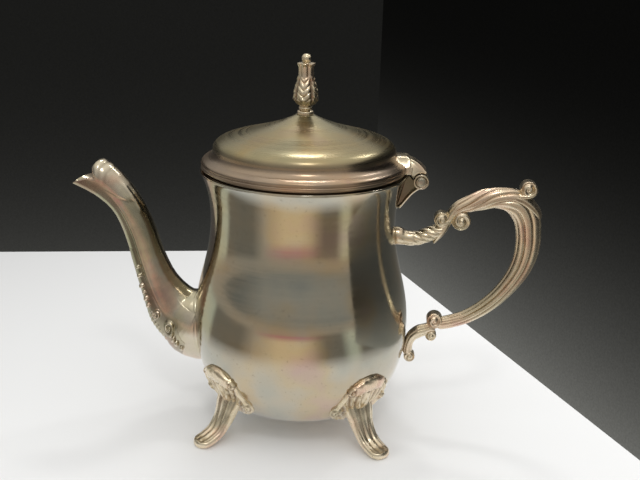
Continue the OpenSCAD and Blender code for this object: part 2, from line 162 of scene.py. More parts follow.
def shell(grid, relief=None, wrap_rows=False, wrap_cols=True, caps=False):
    """Points, faces and relief of a closed surface from a grid of rows and columns.
    Equal points are merged, so a row that shrinks to a point closes there, and the faces are
    turned outwards by the sign of the volume they enclose. Caps are flat faces on the end rows."""
    rows, cols = grid.shape[:2]
    i = np.arange(rows if wrap_rows else rows - 1)[:, None]
    j = np.arange(cols if wrap_cols else cols - 1)[None]
    i2, j2 = (i + 1) % rows, (j + 1) % cols
    faces = stacked(i * cols + j, i * cols + j2, i2 * cols + j2, i2 * cols + j).reshape(-1, 4)
    points = grid.reshape(-1, 3)
    value = np.zeros(len(points)) if relief is None else np.broadcast_to(relief, (rows, cols)).ravel()
    keys = np.round(points / 2e-4).astype(np.int64)
    _, first, inverse = np.unique(keys, axis=0, return_index=True, return_inverse=True)
    inverse = inverse.reshape(-1)
    points, value, faces = points[first], value[first], inverse[faces]
    same = faces == np.roll(faces, -1, axis=1)
    gone = same.sum(1)
    quads, three = faces[gone == 0], faces[gone == 1]
    pick = (np.argmax(same[gone == 1], axis=1)[:, None] + [1, 2, 3]) % 4
    tris = np.take_along_axis(three, pick, 1)
    a, b, c, d = (points[quads[:, k]] for k in range(4))
    e, f, g = (points[tris[:, k]] for k in range(3))
    volume = (a * np.cross(b, c)).sum() + (a * np.cross(c, d)).sum() + (e * np.cross(f, g)).sum()
    ends = []
    if caps:
        ends = [inverse[:cols][::-1], inverse[-cols:]]
        for ring in ends:
            r = points[ring]
            volume += (r[0] * np.cross(r[1:-1], r[2:])).sum()
    polygons = [quads, tris] + [r[None] for r in ends]
    if volume < 0:
        polygons = [p[:, ::-1] for p in polygons]
    return points, polygons, value


def turned(line, sides):
    """A profile of [radius, height] turned about the pot's axis."""
    a = angles(sides)[:, None]
    r, z = line[:, 0][None], line[:, 1][None]
    return stacked(r * np.cos(a), r * np.sin(a), z)


def joined(name, shells):
    """One mesh, in metres, of several shells' points and faces."""
    faces, base = [], 0
    for points, polygons, _ in shells:
        for q in polygons:
            faces += (q + base).tolist()
        base += len(points)
    mesh = bpy.data.meshes.new(name)
    mesh.from_pydata((np.concatenate([one[0] for one in shells]) * MM).tolist(), [], faces)
    return mesh


def add_piece(name, shells, kind, body, nodes, sharp):
    """Joins shells into one mesh at the origin and puts it on its body in place of its nodes."""
    mesh = joined(name, shells)
    mesh.attributes.new("relief", "FLOAT", "POINT").data.foreach_set(
        "value", np.concatenate([one[2] for one in shells]).astype(np.float32))
    mesh.validate()
    mesh.shade_smooth()
    mesh.set_sharp_from_angle(angle=math.radians(sharp))
    paint, slot = finish(kind)
    mesh.materials.append(paint)
    thing = bpy.data.objects.new(name, mesh)
    bpy.context.scene.collection.objects.link(thing)
    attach(thing, body)
    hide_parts(*nodes)
    return thing


# ---- the pot's own lines, in millimetres ----

RIM = (52.0, 134.0)
NECK = (46.9, 110.0)
BELLY = (55.5, 53.0)
BASE = (33.0, 12.0)
WALL = 1.2
RIM_W = 2.4
# strainer behind the spout: centre height, hole radius, pitch and how far its width is squashed
STRAINER_Z, HOLE_R, PITCH, SQUASH = 47.8, 1.8, 7, 0.8


def body_line(count=40):
    """Outer line of the body from the edge of its flat underside up to the rim."""
    return np.concatenate([
        bezier([BASE, (46.5, 12.3), (55.5, 32.5), BELLY], count),
        bezier([BELLY, (55.5, 76.94), (46.9, 86.06), NECK], count),
        bezier([NECK, (46.9, 119.6), (49.3, 129.5), (RIM[0], RIM[1] - 0.5)], count // 2, True)])


LINE = body_line(200)


def belly_r(z):
    """Radius of the body's outer face at a height."""
    return np.interp(z, LINE[:, 1], LINE[:, 0])


def normals(path):
    """Unit left-hand normal, in the plane, at each row of a path."""
    v = np.gradient(path[:, :2], axis=0)
    v /= np.linalg.norm(v, axis=1)[:, None]
    return np.stack([-v[:, 1], v[:, 0]], 1)


def moved(line, d):
    """An [r, z] line moved square to itself by d, inwards where d is above 0."""
    return line + d * normals(line)


def hand_worn(grid, amount, low, high):
    """Moves a turned surface in and out by a slow wave, as spun sheet that has been handled."""
    x, y, z = grid[..., 0], grid[..., 1], grid[..., 2]
    a = np.arctan2(y, x)
    wave = (np.sin(2 * a + 1 + z / 31) + 0.7 * np.sin(3 * a - z / 19 + 2) + 0.5 * np.sin(5 * a + z / 11)
            + 0.5 * np.sin(z / 9 + 2 * np.cos(a)))
    wave *= ramp(z, low, low + 12) * (1 - ramp(z, high - 8, high)) * amount
    return np.stack([x + wave * np.cos(a), y + wave * np.sin(a), z], -1)


# ---- materials ----

def node(tree, kind, links=None, **settings):
    """Adds a shader node with its settings, its socket values (in_0, in_1 and on) and its links,
    each from a socket or from the first output of a node."""
    n = tree.nodes.new("ShaderNode" + kind)
    n.location = 200 * len(tree.nodes), 0
    for key, value in settings.items():
        if key.startswith("in_"):
            n.inputs[int(key[3:])].default_value = value
        else:
            setattr(n, key, value)
    for socket, source in (links or {}).items():
        tree.links.new(getattr(source, "outputs", [source])[0], n.inputs[socket])
    return n


def new_material(name):
    """An empty material and its node tree."""
    m = bpy.data.materials.new(name)
    m.use_nodes = True
    m.node_tree.nodes.clear()
    return m, m.node_tree


def stops(ramp_node, pairs):
    """Sets the stops of a colour ramp to (place, hex colour) pairs."""
    e = ramp_node.color_ramp.elements
    while len(e) < len(pairs):
        e.new(0.5)
    for one, (place, code) in zip(e, pairs):
        one.position = place
        one.color = rgba(code)


def silver_plate(name, tones, patch_mm, rough, recess, scratch_mm, turned_marks, fleck, zones=None):
    """Silver plate over base metal, gone warm with tarnish. Slow patches of tint a few
    centimetres wide, fine wiping marks, small flecks, and darker film left in the recesses.
    zones gives (height in mm, colour) pairs where the film also changes from band to band."""
    m, t = new_material(name)
    where = node(t, "TexCoord").outputs["Object"]
    patch = node(t, "TexNoise", {"Vector": where},
                 noise_dimensions="3D", in_2=1000 / patch_mm, in_3=3.0, in_4=0.45)
    tone = node(t, "ValToRGB", {"Fac": patch.outputs["Fac"]})
    stops(tone, tones)
    tint = tone.outputs["Color"]
    if zones:
        low_z, high_z = zones[0][0], zones[-1][0]
        height = node(t, "SeparateXYZ", {0: where})
        rise = node(t, "MapRange", {"Value": height.outputs["Z"]}, in_1=low_z * MM, in_2=high_z * MM)
        band = node(t, "ValToRGB", {"Fac": rise})
        stops(band, [((z - low_z) / (high_z - low_z), code) for z, code in zones])
        tint = node(t, "Mix", {6: tint, 7: band.outputs["Color"]},
                    data_type="RGBA", in_0=0.5).outputs[2]
    # film in the recesses of the relief, clean metal on its ridges; some pieces' marks also use these two colours as
    # painted shade and painted highlight
    relief = node(t, "Attribute", attribute_name="relief").outputs["Fac"]
    low = node(t, "MapRange", {"Value": relief}, in_1=-1.0, in_2=0.0, in_3=0.85, in_4=0.0)
    film = node(t, "Mix", {0: low, 6: tint}, data_type="RGBA", in_7=rgba(recess))
    high = node(t, "MapRange", {"Value": relief}, in_1=0.0, in_2=1.0, in_3=0.0, in_4=0.45)
    wear_and_painted_highlight = node(t, "Mix", {0: high, 6: film.outputs[2]}, data_type="RGBA", in_7=rgba("E6DCC8"))
    # flecks of darker tarnish, drawn as coarse as they need to show
    speck = node(t, "TexNoise", {"Vector": where}, in_2=1000 / 1.6, in_3=2.0, in_4=0.6)
    spot = node(t, "MapRange", {"Value": speck.outputs["Fac"]}, in_1=0.63, in_2=0.78, in_3=0.0, in_4=fleck)
    dirty = node(t, "Mix", {0: spot, 6: wear_and_painted_highlight.outputs[2]}, data_type="RGBA", in_7=rgba("5E5446"))
    # marks of the work: rings round the axis where it was turned, grain in all ways on castings
    grain = where
    if turned_marks:
        part = node(t, "SeparateXYZ", {0: where})
        flat = node(t, "VectorMath", {0: where}, operation="MULTIPLY", in_1=(1, 1, 0))
        rad = node(t, "VectorMath", {0: flat}, operation="LENGTH")
        slow = node(t, "VectorMath", {0: flat}, operation="SCALE", in_3=0.03)
        ring = node(t, "CombineXYZ", {0: rad.outputs["Value"], 2: part.outputs["Z"]})
        grain = node(t, "VectorMath", {0: ring, 1: slow})
    mark = node(t, "TexNoise", {"Vector": grain}, in_2=1000 / (scratch_mm * 6), in_3=4.0, in_4=0.6)
    gloss = node(t, "MapRange", {"Value": mark.outputs["Fac"]},
                 in_1=0.32, in_2=0.68, in_3=rough - 0.04, in_4=rough + 0.07)
    fine = node(t, "TexNoise", {"Vector": grain}, in_2=1000 / scratch_mm, in_3=3.0, in_4=0.7)
    skin = node(t, "Bump", {"Height": fine.outputs["Fac"]}, in_0=0.02, in_1=0.00003)
    shade = node(t, "BsdfPrincipled", {"Base Color": dirty.outputs[2], "Roughness": gloss, "Normal": skin})
    shade.inputs["Metallic"].default_value = 1.0
    node(t, "OutputMaterial", {"Surface": shade})
    return m


def plain_metal(name, code, rough, grain_mm):
    """Drawn or stamped metal with a fine even grain that only its gloss shows."""
    m, t = new_material(name)
    where = node(t, "TexCoord").outputs["Object"]
    grain = node(t, "TexNoise", {"Vector": where}, in_2=1000 / grain_mm, in_3=3.0)
    gloss = node(t, "MapRange", {"Value": grain.outputs["Fac"]},
                 in_3=rough - 0.08, in_4=rough + 0.1)
    tint = node(t, "Mix", {0: grain.outputs["Fac"]}, data_type="RGBA",
                in_6=rgba(code), in_7=(*(0.72 * c for c in linear(code)), 1))
    shade = node(t, "BsdfPrincipled", {"Base Color": tint.outputs[2], "Roughness": gloss})
    shade.inputs["Metallic"].default_value = 1.0
    node(t, "OutputMaterial", {"Surface": shade})
    return m


# the six finishes, once they are made: each is a material and the record's slot that it fills
FINISH = {}


def finish(kind):
    """One finish, made with the rest when the first is asked for."""
    if not FINISH:
        make_finishes()
    return FINISH[kind]


def make_finishes():
    """Makes the six finishes: four of silver plate, a nickel wire and a brass."""
    # spun sheet: broad soft patches of champagne, gold, rose and olive film
    FINISH["spun"] = (silver_plate(
        "spun_silver_plate_tarnished",
        [(0.30, "A7A8A0"), (0.42, "B5B2A5"), (0.50, "BCB4A3"), (0.58, "C1B297"), (0.70, "C0A99E")],
        34, 0.11, "6A5F50", 0.35, True, 0.35), "spun_silver_plate")
    # the lid's spinning was polished less: the same film on a satin ground. As silver tarnishes it
    # turns rose, then olive: it is thickest at the flange and rubbed clear at the crown
    rose, olive, clear = "A88878", "9C8C60", "B8B090"
    FINISH["satin"] = (silver_plate(
        "spun_silver_plate_satin",
        [(0.30, "8A8C80"), (0.42, "9E9B88"), (0.50, "ABA28B"), (0.58, "B2A080"), (0.70, "AC9486")],
        30, 0.27, "6A5F50", 0.5, True, 0.3,
        [(143, rose), (147.5, olive), (152, olive), (160, clear)]), "spun_silver_plate")
    # castings: warmer, with rose and brown film in the hollows of the chasing
    FINISH["cast"] = (silver_plate(
        "cast_silver_plate_tarnished",
        [(0.30, "C8BEA4"), (0.42, "D8CAAE"), (0.52, "E0D2B8"), (0.62, "DCC4AA"), (0.72, "D2B2A0")],
        15, 0.27, "826C58", 0.5, False, 0.12), "cast_silver_plate")
    # the spout kept more of its film: olive above, rose and brown in places
    FINISH["filmed"] = (silver_plate(
        "cast_silver_plate_filmed",
        [(0.30, "B0AB95"), (0.42, "C4BBA1"), (0.52, "C8BEAC"), (0.62, "CAB09C"), (0.72, "BEA092")],
        17, 0.2, "665F4C", 0.5, False, 0.2), "cast_silver_plate")
    FINISH["pin"] = (plain_metal("drawn_nickel_wire", "B8B2A2", 0.28, 0.8), "hinge_pin_wire")
    FINISH["brass"] = (plain_metal("turned_bare_brass", "C9A75C", 0.36, 0.6), "bare_brass")


# ---- settings that a user would change ----

class TeapotSizes(bpy.types.PropertyGroup):
    """Sizes of the detail that the looks add to the CAD part."""

    wear: bpy.props.FloatProperty(
        name="Hand wear", description="How far the spun sheet waves in and out", default=0.06)
    reed_depth: bpy.props.FloatProperty(
        name="Reed depth", description="Depth of the grooves between the handle's reeds, in millimetres",
        default=0.6)
    leaf_relief: bpy.props.FloatProperty(
        name="Leaf relief", description="Height of the chased leaves, in millimetres", default=0.7)
    bead_radius: bpy.props.FloatProperty(
        name="Bead radius", description="Radius of the beads under the spout, in millimetres", default=1.3)


class TeapotColours(bpy.types.PropertyGroup):
    """Colours of the stage."""

    table: bpy.props.FloatVectorProperty(
        name="Table", description="Colour of the pale table top", subtype="COLOR", size=3,
        default=linear("EAEAE9"))


# ---- body ----

class TEAPOT_OT_body(bpy.types.Operator):
    """Spins the pear-shaped body with its strainer holes and its base plate"""

    bl_idname = "teapot.body"
    bl_label = "Body"

    def execute(self, context):
        size = context.scene.teapot_sizes
        outer = body_line(56)
        inner = moved(outer, WALL)
        inner = inner[(inner[:, 1] > BASE[1] + WALL + 0.1) & (inner[:, 1] < RIM[1] - RIM_W)]
        rim = rounded([(RIM[0] + 0.05, RIM[1] - 0.75, 0.2), (RIM[0], RIM[1], 0.6),
                       (RIM[0] - RIM_W, RIM[1], 0.7), (RIM[0] - 2.5, RIM[1] - 2.2, 0.6)])
        foot = rounded([(29.5, BASE[1] + WALL, 0.3), (26, BASE[1] + WALL, 0.3), (26, BASE[1], 0.3)])
        line = np.concatenate([outer[:-1], rim, inner[::-1], foot])
        grid = hand_worn(turned(line, 288), size.wear, 30, 126)
        body = add_piece("body_spun", [shell(grid, wrap_rows=True)], "spun", "pot", ["body"], 30)
        # 19 strainer holes behind the spout's root: one, six and twelve in a squashed hexagon
        ring = np.array([(k, i) for k in range(3) for i in range(max(1, 6 * k))])
        turn = np.radians(60 * ring[:, 1] / np.maximum(ring[:, 0], 1))
        y, z = ring[:, 0] * PITCH * SQUASH * np.sin(turn), STRAINER_Z + ring[:, 0] * PITCH * np.cos(turn)
        a = angles(20)
        cutters = []
        for cy, cz in zip(y, z):
            tube = np.stack([stacked(x, cy + HOLE_R * np.cos(a), cz + HOLE_R * np.sin(a)) for x in (-62.0, -40.0)])
            cutters.append(shell(tube, caps=True))
        cut_holes(body, cutters)

        r = np.concatenate([np.linspace(0, 28.4, 60), [28.8, 29, 29, 28.8], np.linspace(28.4, 0, 60)])
        low = 13.25 + 0.03 * np.sin(np.linspace(0, 28.4, 60) * 2.2) ** 2
        z = np.concatenate([low, [13.3, 13.45, 14.05, 14.2], np.full(60, 14.25)])
        add_piece("base_plate_spun", [shell(turned(np.stack([r, z], 1), 160), wrap_rows=True, wrap_cols=False)],
                  "spun", "pot", ["base_plate"], 40)
        return {"FINISHED"}


def cut_holes(thing, cutters):
    """Takes the cutters' solids out of a mesh with an exact difference and keeps the result."""
    tool = bpy.data.objects.new("cutters", joined("cutters", cutters))
    bpy.context.scene.collection.objects.link(tool)
    step = thing.modifiers.new("holes", "BOOLEAN")
    step.operation = "DIFFERENCE"
    step.solver = "EXACT"
    step.object = tool
    done = bpy.data.meshes.new_from_object(thing.evaluated_get(bpy.context.evaluated_depsgraph_get()))
    thing.modifiers.clear()
    clean = bmesh.new()
    clean.from_mesh(done)
    bmesh.ops.remove_doubles(clean, verts=clean.verts, dist=2e-6)
    bmesh.ops.dissolve_degenerate(clean, edges=clean.edges, dist=2e-6)
    clean.to_mesh(done)
    clean.free()
    old, thing.data = thing.data, done
    done.name = thing.name
    bpy.data.meshes.remove(old)
    bpy.data.objects.remove(tool)


# ---- lid ----

LID_Z = 135.2
DOME_R = 45.6


class TEAPOT_OT_lid(bpy.types.Operator):
    """Spins the domed lid and the flat ring with its collar"""

    bl_idname = "teapot.lid"
    bl_label = "Lid"

    def execute(self, context):
        size = context.scene.teapot_sizes
        z = LID_Z
        lip = rounded([(50.2, z + 0.1, 0.3), (51.35, z + 0.15, 0.5), (51.4, z + 1.5, 0.5), (50.9, z + 1.85, 0.15),
                       (50.9, z + 2.1, 0.15), (51.35, z + 2.3, 0.4), (51.3, z + 3.2, 0.5)])
        flange = bezier([(51.1, z + 3.3), (50.6, z + 4.2), (48.9, z + 4.7), (47.8, z + 5.2)], 10)
        cove = bezier([(47.8, z + 5.2), (46.3, z + 6.1), (DOME_R, z + 7.4), (DOME_R, z + 8.8)], 12)
        shoulder = bezier([(DOME_R, z + 8.8), (DOME_R, z + 13), (DOME_R - 4, z + 14.6),
                           (DOME_R - 11, z + 16.4)], 20)
        dome = bezier([(DOME_R - 11, z + 16.4), (DOME_R - 22, z + 19.2), (13.8, 156.8), (4.8, 161.4)], 30, True)
        outer = np.concatenate([flange, cove, shoulder, dome])
        inner = moved(outer, 1.0)
        inner = inner[(inner[:, 1] > z + 2.6) & (inner[:, 0] > 4.8)]
        top = rounded([(4.2, 161.4, 0.2), (1.65, 161.4, 0.2), (1.65, 160.4, 0.2), (4.4, 160.4, 0.2)])
        line = np.concatenate([lip, outer, top, inner[::-1], [(50.0, z + 1.9), (49.9, z + 0.3)]])
        grid = hand_worn(turned(line, 288), size.wear * 0.8, 140, 166)
        add_piece("lid_spun", [shell(grid, wrap_rows=True)], "satin", "lid", ["lid"], 40)

        b = 134.25
        ring = rounded([(45.8, b - 5, 0.4), (46.75, b - 5, 0.4), (46.75, b, 0.25), (49.4, b, 0.25),
                        (49.4, b + 0.9, 0.1), (45.8, b + 0.9, 0.3)])
        add_piece("lid_ring_spun", [shell(turned(ring, 240), wrap_rows=True)], "satin", "lid", ["lid_bezel"], 40)
        return {"FINISHED"}


# ---- finial ----

class TEAPOT_OT_finial(bpy.types.Operator):
    """Chases the leaf-bud finial and turns its washer and nut"""

    bl_idname = "teapot.finial"
    bl_label = "Finial"

    def execute(self, context):
        size = context.scene.teapot_sizes
        z0 = 161.45
        # turned line of the finial as [height above its foot, radius]
        line = spline([(0, 0), (0.05, 3.6), (0.5, 4.1), (1.5, 4.1), (2.0, 3.7), (2.35, 2.7), (2.7, 2.9), (3.2, 3.45),
                       (3.8, 3.3), (4.2, 2.8), (4.7, 3.2), (5.6, 4.5), (7.2, 5.3), (9.0, 5.55), (10.6, 5.5),
                       (12.6, 5.2), (14.6, 4.6), (16.6, 3.9), (18.4, 3.35), (20.4, 3.1), (22.4, 3.1), (24.0, 3.2),
                       (24.9, 3.35), (25.25, 3.1), (25.4, 2.2), (25.4, 1.5), (25.6, 1.45), (26.1, 2.0), (26.8, 2.35),
                       (27.4, 2.42), (28.1, 2.3), (28.9, 1.75), (29.4, 1.0), (29.6, 0)], 300)
        h, r = line[:, 0][None], np.maximum(line[:, 1], 0)[None]
        a = angles(192)[:, None]
        # four leaves round the bud, each a fan of V-shaped lobes that rise from its middle rib
        lead = math.radians(-97)
        side = (a - lead + TAU / 8) % (TAU / 4) - TAU / 8
        across = np.abs(side) / (TAU / 8)
        lobe = (h - 3.3 * across - 9.2) / 3.2
        crest = np.sqrt(np.clip(1 - (2 * (lobe % 1) - 1) ** 2, 0, 1))
        leaf = crest * np.clip(1 - across ** 3, 0, 1) * ramp(h, 5.6, 7.4) * (1 - ramp(h - 1.6 * across, 16.6, 18.2))
        valley = bump(1 - across, 0.16) * ramp(h, 4.6, 7) * (1 - ramp(h, 16, 19))
        rib = bump(across, 0.09) * ramp(h, 8, 9) * (1 - ramp(h, 15, 17))
        # small hanging leaves below the bud, and long upright ones round the stem above it
        hang = np.cos(4 * (a - lead)) ** 2 * ramp(h, 4.3, 5) * (1 - ramp(h, 7.6, 8.8))
        flute = np.abs(np.cos(3 * (a - math.radians(-102)))) ** 0.7
        upright = flute * ramp(h, 16.4, 18.6) * (1 - ramp(h, 25.1, 25.3))
        tips = flute * bump(h - 24.6, 0.9) * 0.5
        up = size.leaf_relief
        high = up * (1.05 * leaf - 0.7 * valley - 0.25 * rib + 0.6 * hang) + 0.75 * upright + tips
        mark = np.clip(1.1 * (leaf - 0.55) * ramp(h, 6, 8) * (1 - ramp(h, 17, 18)) - valley
                       + (upright - 0.6) * ramp(h, 18, 19) * (1 - ramp(h, 25, 25.4))
                       + 0.4 * (hang - 0.5) * ramp(h, 4.4, 5) * (1 - ramp(h, 7.6, 8.8)), -1, 1)
        r = r + high * ramp(h, 3.9, 4.6)
        bud = stacked(r * np.cos(a), r * np.sin(a), z0 + h)
        # threaded stud: its radius follows a saw-tooth that climbs one pitch a turn
        sz = np.linspace(156.1, 161.6, 60)
        thread = 1.42 + 0.12 * np.abs(((sz[None] / 0.7 - a / TAU) % 1) * 2 - 1)
        thread[:, 0] = thread[:, -1] = 0
        sz[1] = sz[0]
        stud = stacked(thread * np.cos(a), thread * np.sin(a), sz[None])
        add_piece("finial_cast", [shell(bud.transpose(1, 0, 2), mark.T), shell(stud.transpose(1, 0, 2))],
                  "cast", "lid", ["finial"], 50)
        washer = rounded([(1.6, 159.75, 0.1), (3.9, 159.75, 0.15), (3.9, 160.35, 0.15), (1.6, 160.35, 0.1)])
        add_piece("finial_washer_turned", [shell(turned(washer, 64), wrap_rows=True)], "brass", "lid",
                  ["finial_washer"], 50)
        # nut: a turned ring whose outer radius follows the hexagon, cut back by a cone at both faces
        ring = rounded([(1.55, 157.3, 0.15), (2.9, 157.3, 0.05), (3.3, 157.6, 0.05), (3.3, 159.4, 0.05),
                        (2.9, 159.7, 0.05), (1.55, 159.7, 0.15)])
        b = angles(120)[:, None]
        hexagon = 2.75 / np.cos((b + TAU / 12) % (TAU / 6) - TAU / 12)
        rr = np.where(ring[:, 0][None] > 2, np.minimum(ring[:, 0][None], hexagon), ring[:, 0][None])
        nut = stacked(rr * np.cos(b), rr * np.sin(b), ring[:, 1][None])
        add_piece("finial_nut_turned", [shell(nut, wrap_rows=True)], "brass", "lid", ["finial_nut"], 35)
        return {"FINISHED"}


# ---- sweeps in the plane of the handle and the spout ----

def swept(path, up, across):
    """Points of a section carried along a path of [x, z]: up is the distance along the in-plane
    normal and across the distance square to the plane, both for every row and every angle."""
    n = normals(path)
    return stacked(path[:, :1] + up * n[:, :1], across, path[:, 1:2] + up * n[:, 1:2])


def closed_ends(path):
    """Share of its full section that a rod with round ends has at each row: it falls to nothing
    over a length like the half height, as on a half sphere."""
    s = lengths(path)
    k = np.ones(len(s))
    for end, r in ((s, path[0, 2]), (s[-1] - s, path[-1, 2])):
        k = np.minimum(k, quarter(end / r))
    return k[:, None]


# ---- spout ----

SPOUT = spline([(-49.5, 47.8, 20.8, 15.1)] + [
    (-BELLY[0] - s, z, h, w) for s, z, h, w in (
        (1, 48.2, 20.2, 14.5), (6.2, 51.5, 17.2, 13.4), (12.9, 57.1, 14.4, 11), (20, 69.6, 10.4, 8.8),
        (25.2, 84.1, 8.7, 7.8), (30.2, 100.5, 8.3, 7.6), (37, 113.5, 8, 7.6), (47.5, 124, 9.2, 8),
        (60.5, 130.9, 9.8, 8))], 28)
SPOUT_WALL = 1.6
# end of the spout's skin, as a share of its path, every 18 degrees from hood top to underside
MOUTH_STOPS = [0.933, 0.936, 0.938, 0.937, 0.929, 0.9225, 0.942, 0.960, 0.977, 0.984, 0.985]


def from_back(a):
    """Angle from the back of the spout, the same on both sides."""
    return np.abs((a + math.pi) % TAU - math.pi)


def spout_row(t, column):
    """One column of the spout's stations at parameter t."""
    return np.interp(t, np.linspace(0, 1, len(SPOUT)), SPOUT[:, column])


def spout_section(t, a, inset):
    """Height and width offsets of the spout's section at rows t (0 at the belly, 1 past the lip)
    and angles a (0 at the back, half a turn at the underside). The section is an ellipse with a
    soft crease along each side, less an inset for the wall."""
    k = from_back(a)
    crease = 1 + 0.065 * bump(k - math.radians(102), 0.11) * ramp(t, 0.3, 0.42) * (1 - ramp(t, 0.72, 0.86))
    h, w = spout_row(t, 2) - inset, spout_row(t, 3) - inset
    return h * np.cos(a) * crease, w * np.sin(a) * crease


def spout_point(t, a, inset=0.0, raise_by=0.0):
    """Point of the spout's skin at parameter t and angle a, raised square to the path."""
    grid_t = np.linspace(0, 1, len(SPOUT))
    n = normals(SPOUT)
    nx, nz = np.interp(t, grid_t, n[:, 0]), np.interp(t, grid_t, n[:, 1])
    up, out = spout_section(t, a, inset)
    up, out = up + raise_by * np.cos(a), out + raise_by * np.sin(a)
    return np.stack([spout_row(t, 0) + up * -nx, out, spout_row(t, 1) + up * -nz], -1)


class TEAPOT_OT_spout(bpy.types.Operator):
    """Carries the spout's section along its path, with a flared foot, a leaf hood and a lip"""

    bl_idname = "teapot.spout"
    bl_label = "Spout"

    def execute(self, context):
        size = context.scene.teapot_sizes
        a = angles(180)[None]
        t = np.linspace(0, 1, 900)[:, None]
        p = spout_point(t, a)
        radius = np.hypot(p[..., 0], p[..., 1])
        start = t[np.argmax(radius > belly_r(p[..., 2]) - 0.25, axis=0), 0]
        k = from_back(a)
        # where the skin ends, from the top of the hood (0) round to the underside (half a turn)
        stop = np.interp(k[0], np.linspace(0, math.pi, 721), spline([(v, 0) for v in MOUTH_STOPS], 721)[:, 0])
        u = np.linspace(0, 1, 230)[:, None]
        t = start[None] + (stop - start)[None] * u
        along = t - start[None]
        # raised collar where the spout is soldered on
        collar = 0.3 * (1 - ramp(along, 0.012, 0.026))
        # leaf laid over the hood: its lower edge starts in a point at the back, comes forward in
        # two lobes and fades out half way down the side; a fold runs along each side of its middle
        edge = np.interp(k, (0, 0.3, 0.62, 0.85, 1.15, 1.45, 1.8), (0.70, 0.735, 0.742, 0.765, 0.772, 0.80, 0.87))
        leaf = ramp(t, edge, edge + 0.016) * (1 - ramp(k, 1.25, 1.8))
        fold = bump(k - 0.66, 0.13) * ramp(t, 0.71, 0.73) * (1 - ramp(t, 0.80, 0.86))
        valley = bump(k - 0.40, 0.16) * ramp(t, 0.70, 0.72) * (1 - ramp(t, 0.78, 0.84))
        # two rounded beads that follow the hood's front edge
        last = stop[None] - t
        near = 1 - ramp(k, 1.15, 1.65)
        beads = (bump(last - 0.016, 0.006) + bump(last - 0.038, 0.006)) * near
        between = (bump(last - 0.027, 0.006) + bump(last - 0.05, 0.007)) * near
        relief = 0.3 * leaf + 0.5 * fold - 0.25 * valley + 0.08 * beads - 0.08 * between
        # the hood's front edge is rounded over, and the lip is thinned on its underside
        tuck = -2.3 * (1 - quarter(last / 0.022)) * (1 - ramp(k, 1.45, 1.75))
        outer = spout_point(t, a, 0.0, collar + relief + tuck)
        thin = 0.75 * ramp(t, 0.85, 0.97) * ramp(k, 1.6, 2.2)
        inner = spout_point(t, a, SPOUT_WALL, np.minimum(tuck * 0.2, 0) + thin)
        ahead = outer[-1] - outer[-3]
        ahead /= np.linalg.norm(ahead, axis=-1, keepdims=True)
        rim = np.stack([outer[-1] * (1 - q) + inner[-1] * q + ahead * 0.2 * math.sin(math.pi * q)
                        for q in (0.15, 0.32, 0.5, 0.68, 0.85)])
        grid = np.concatenate([outer, rim, inner[::-1]])
        # film marks, with painted light among them: the spout's foot is painted light as a painted highlight, and a
        # broad band along its upper sides and the top of the hood are painted dark as painted shade
        mark = np.clip(-0.12 - 0.75 * bump(k - 0.55, 0.5) * ramp(t, 0.3, 0.42) * (1 - leaf)
                       + 0.8 * (1 - ramp(t, 0.18, 0.32)) - 0.55 * bump(k, 0.45) * leaf
                       + 1.2 * fold - 0.2 * valley + beads - 0.3 * between
                       - 0.5 * bump((t - edge + 0.002) / 0.004, 1.0) * (1 - ramp(k, 1.2, 1.7)) + 0.15 * leaf, -1, 1)
        mark = np.concatenate([mark, np.full((5, mark.shape[1]), 0.5), np.full(mark.shape, -0.5)])
        add_piece("spout_cast", [shell(grid, mark, wrap_rows=True)], "filmed", "pot", ["spout"], 55)
        self.band(size)
        return {"FINISHED"}

    def band(self, size):
        """Band under the spout: beads in two rows and a pair of scrolls on each side, raised on
        the skin as the height of half spheres and of a spiral ridge."""
        t = np.linspace(0.12, 0.6, 400)[:, None]
        v = np.linspace(-1, 1, 190)[None]
        reach = np.interp(t, (0.12, 0.2, 0.27, 0.35, 0.42, 0.5, 0.6), (66, 76, 94, 88, 72, 68, 66))
        a = math.pi + v * np.radians(reach)
        skin = spout_point(t, a)
        s = np.concatenate([[0], np.cumsum(np.linalg.norm(np.diff(skin[:, 95], axis=0), axis=1))])[:, None]
        c = np.linalg.norm(np.diff(skin, axis=1, prepend=skin[:, :1]), axis=2).cumsum(axis=1)
        c = c - c[:, 95:96]
        down = np.linalg.norm(np.diff(skin, axis=0, prepend=skin[:1]), axis=2).cumsum(axis=0)
        # a low keel along the middle; beads and scrolls are placed by share of the path and by
        # degrees from the underside, then sized in millimetres along and across the skin
        keel = 0.5 * bump(c, 1.2) * ramp(s, 1, 5) * (1 - ramp(s, s[-1, 0] - 5, s[-1, 0] - 1))
        fade = 1 - ramp(np.abs(v), 0.8, 0.98)

        def distance(share, degrees):
            """Millimetres along and across the skin from a place on it, the same on both sides."""
            i = int(np.argmin(np.abs(t - share)))
            j = int(np.argmin(np.abs(v[0] * reach[i, 0] - degrees)))
            return down - down[i:i + 1], np.abs(c) - abs(c[i, j])

        high = 0.1 * fade + keel
        for share, degrees, size_share in ((0.536, 55, 0.75), (0.504, 51, 0.9), (0.465, 47, 1), (0.441, 48, 0.75),
                                           (0.418, 49, 1), (0.393, 47, 0.9), (0.226, 62, 1), (0.19, 58, 1),
                                           (0.157, 57, 1), (0.127, 54, 0.9)):
            r = size.bead_radius * size_share
            ds, dc = distance(share, degrees)
            high = np.maximum(high, 0.1 + 1.3 * np.sqrt(np.clip((1.2 * r) ** 2 - ds ** 2 - dc ** 2, 0, None)))
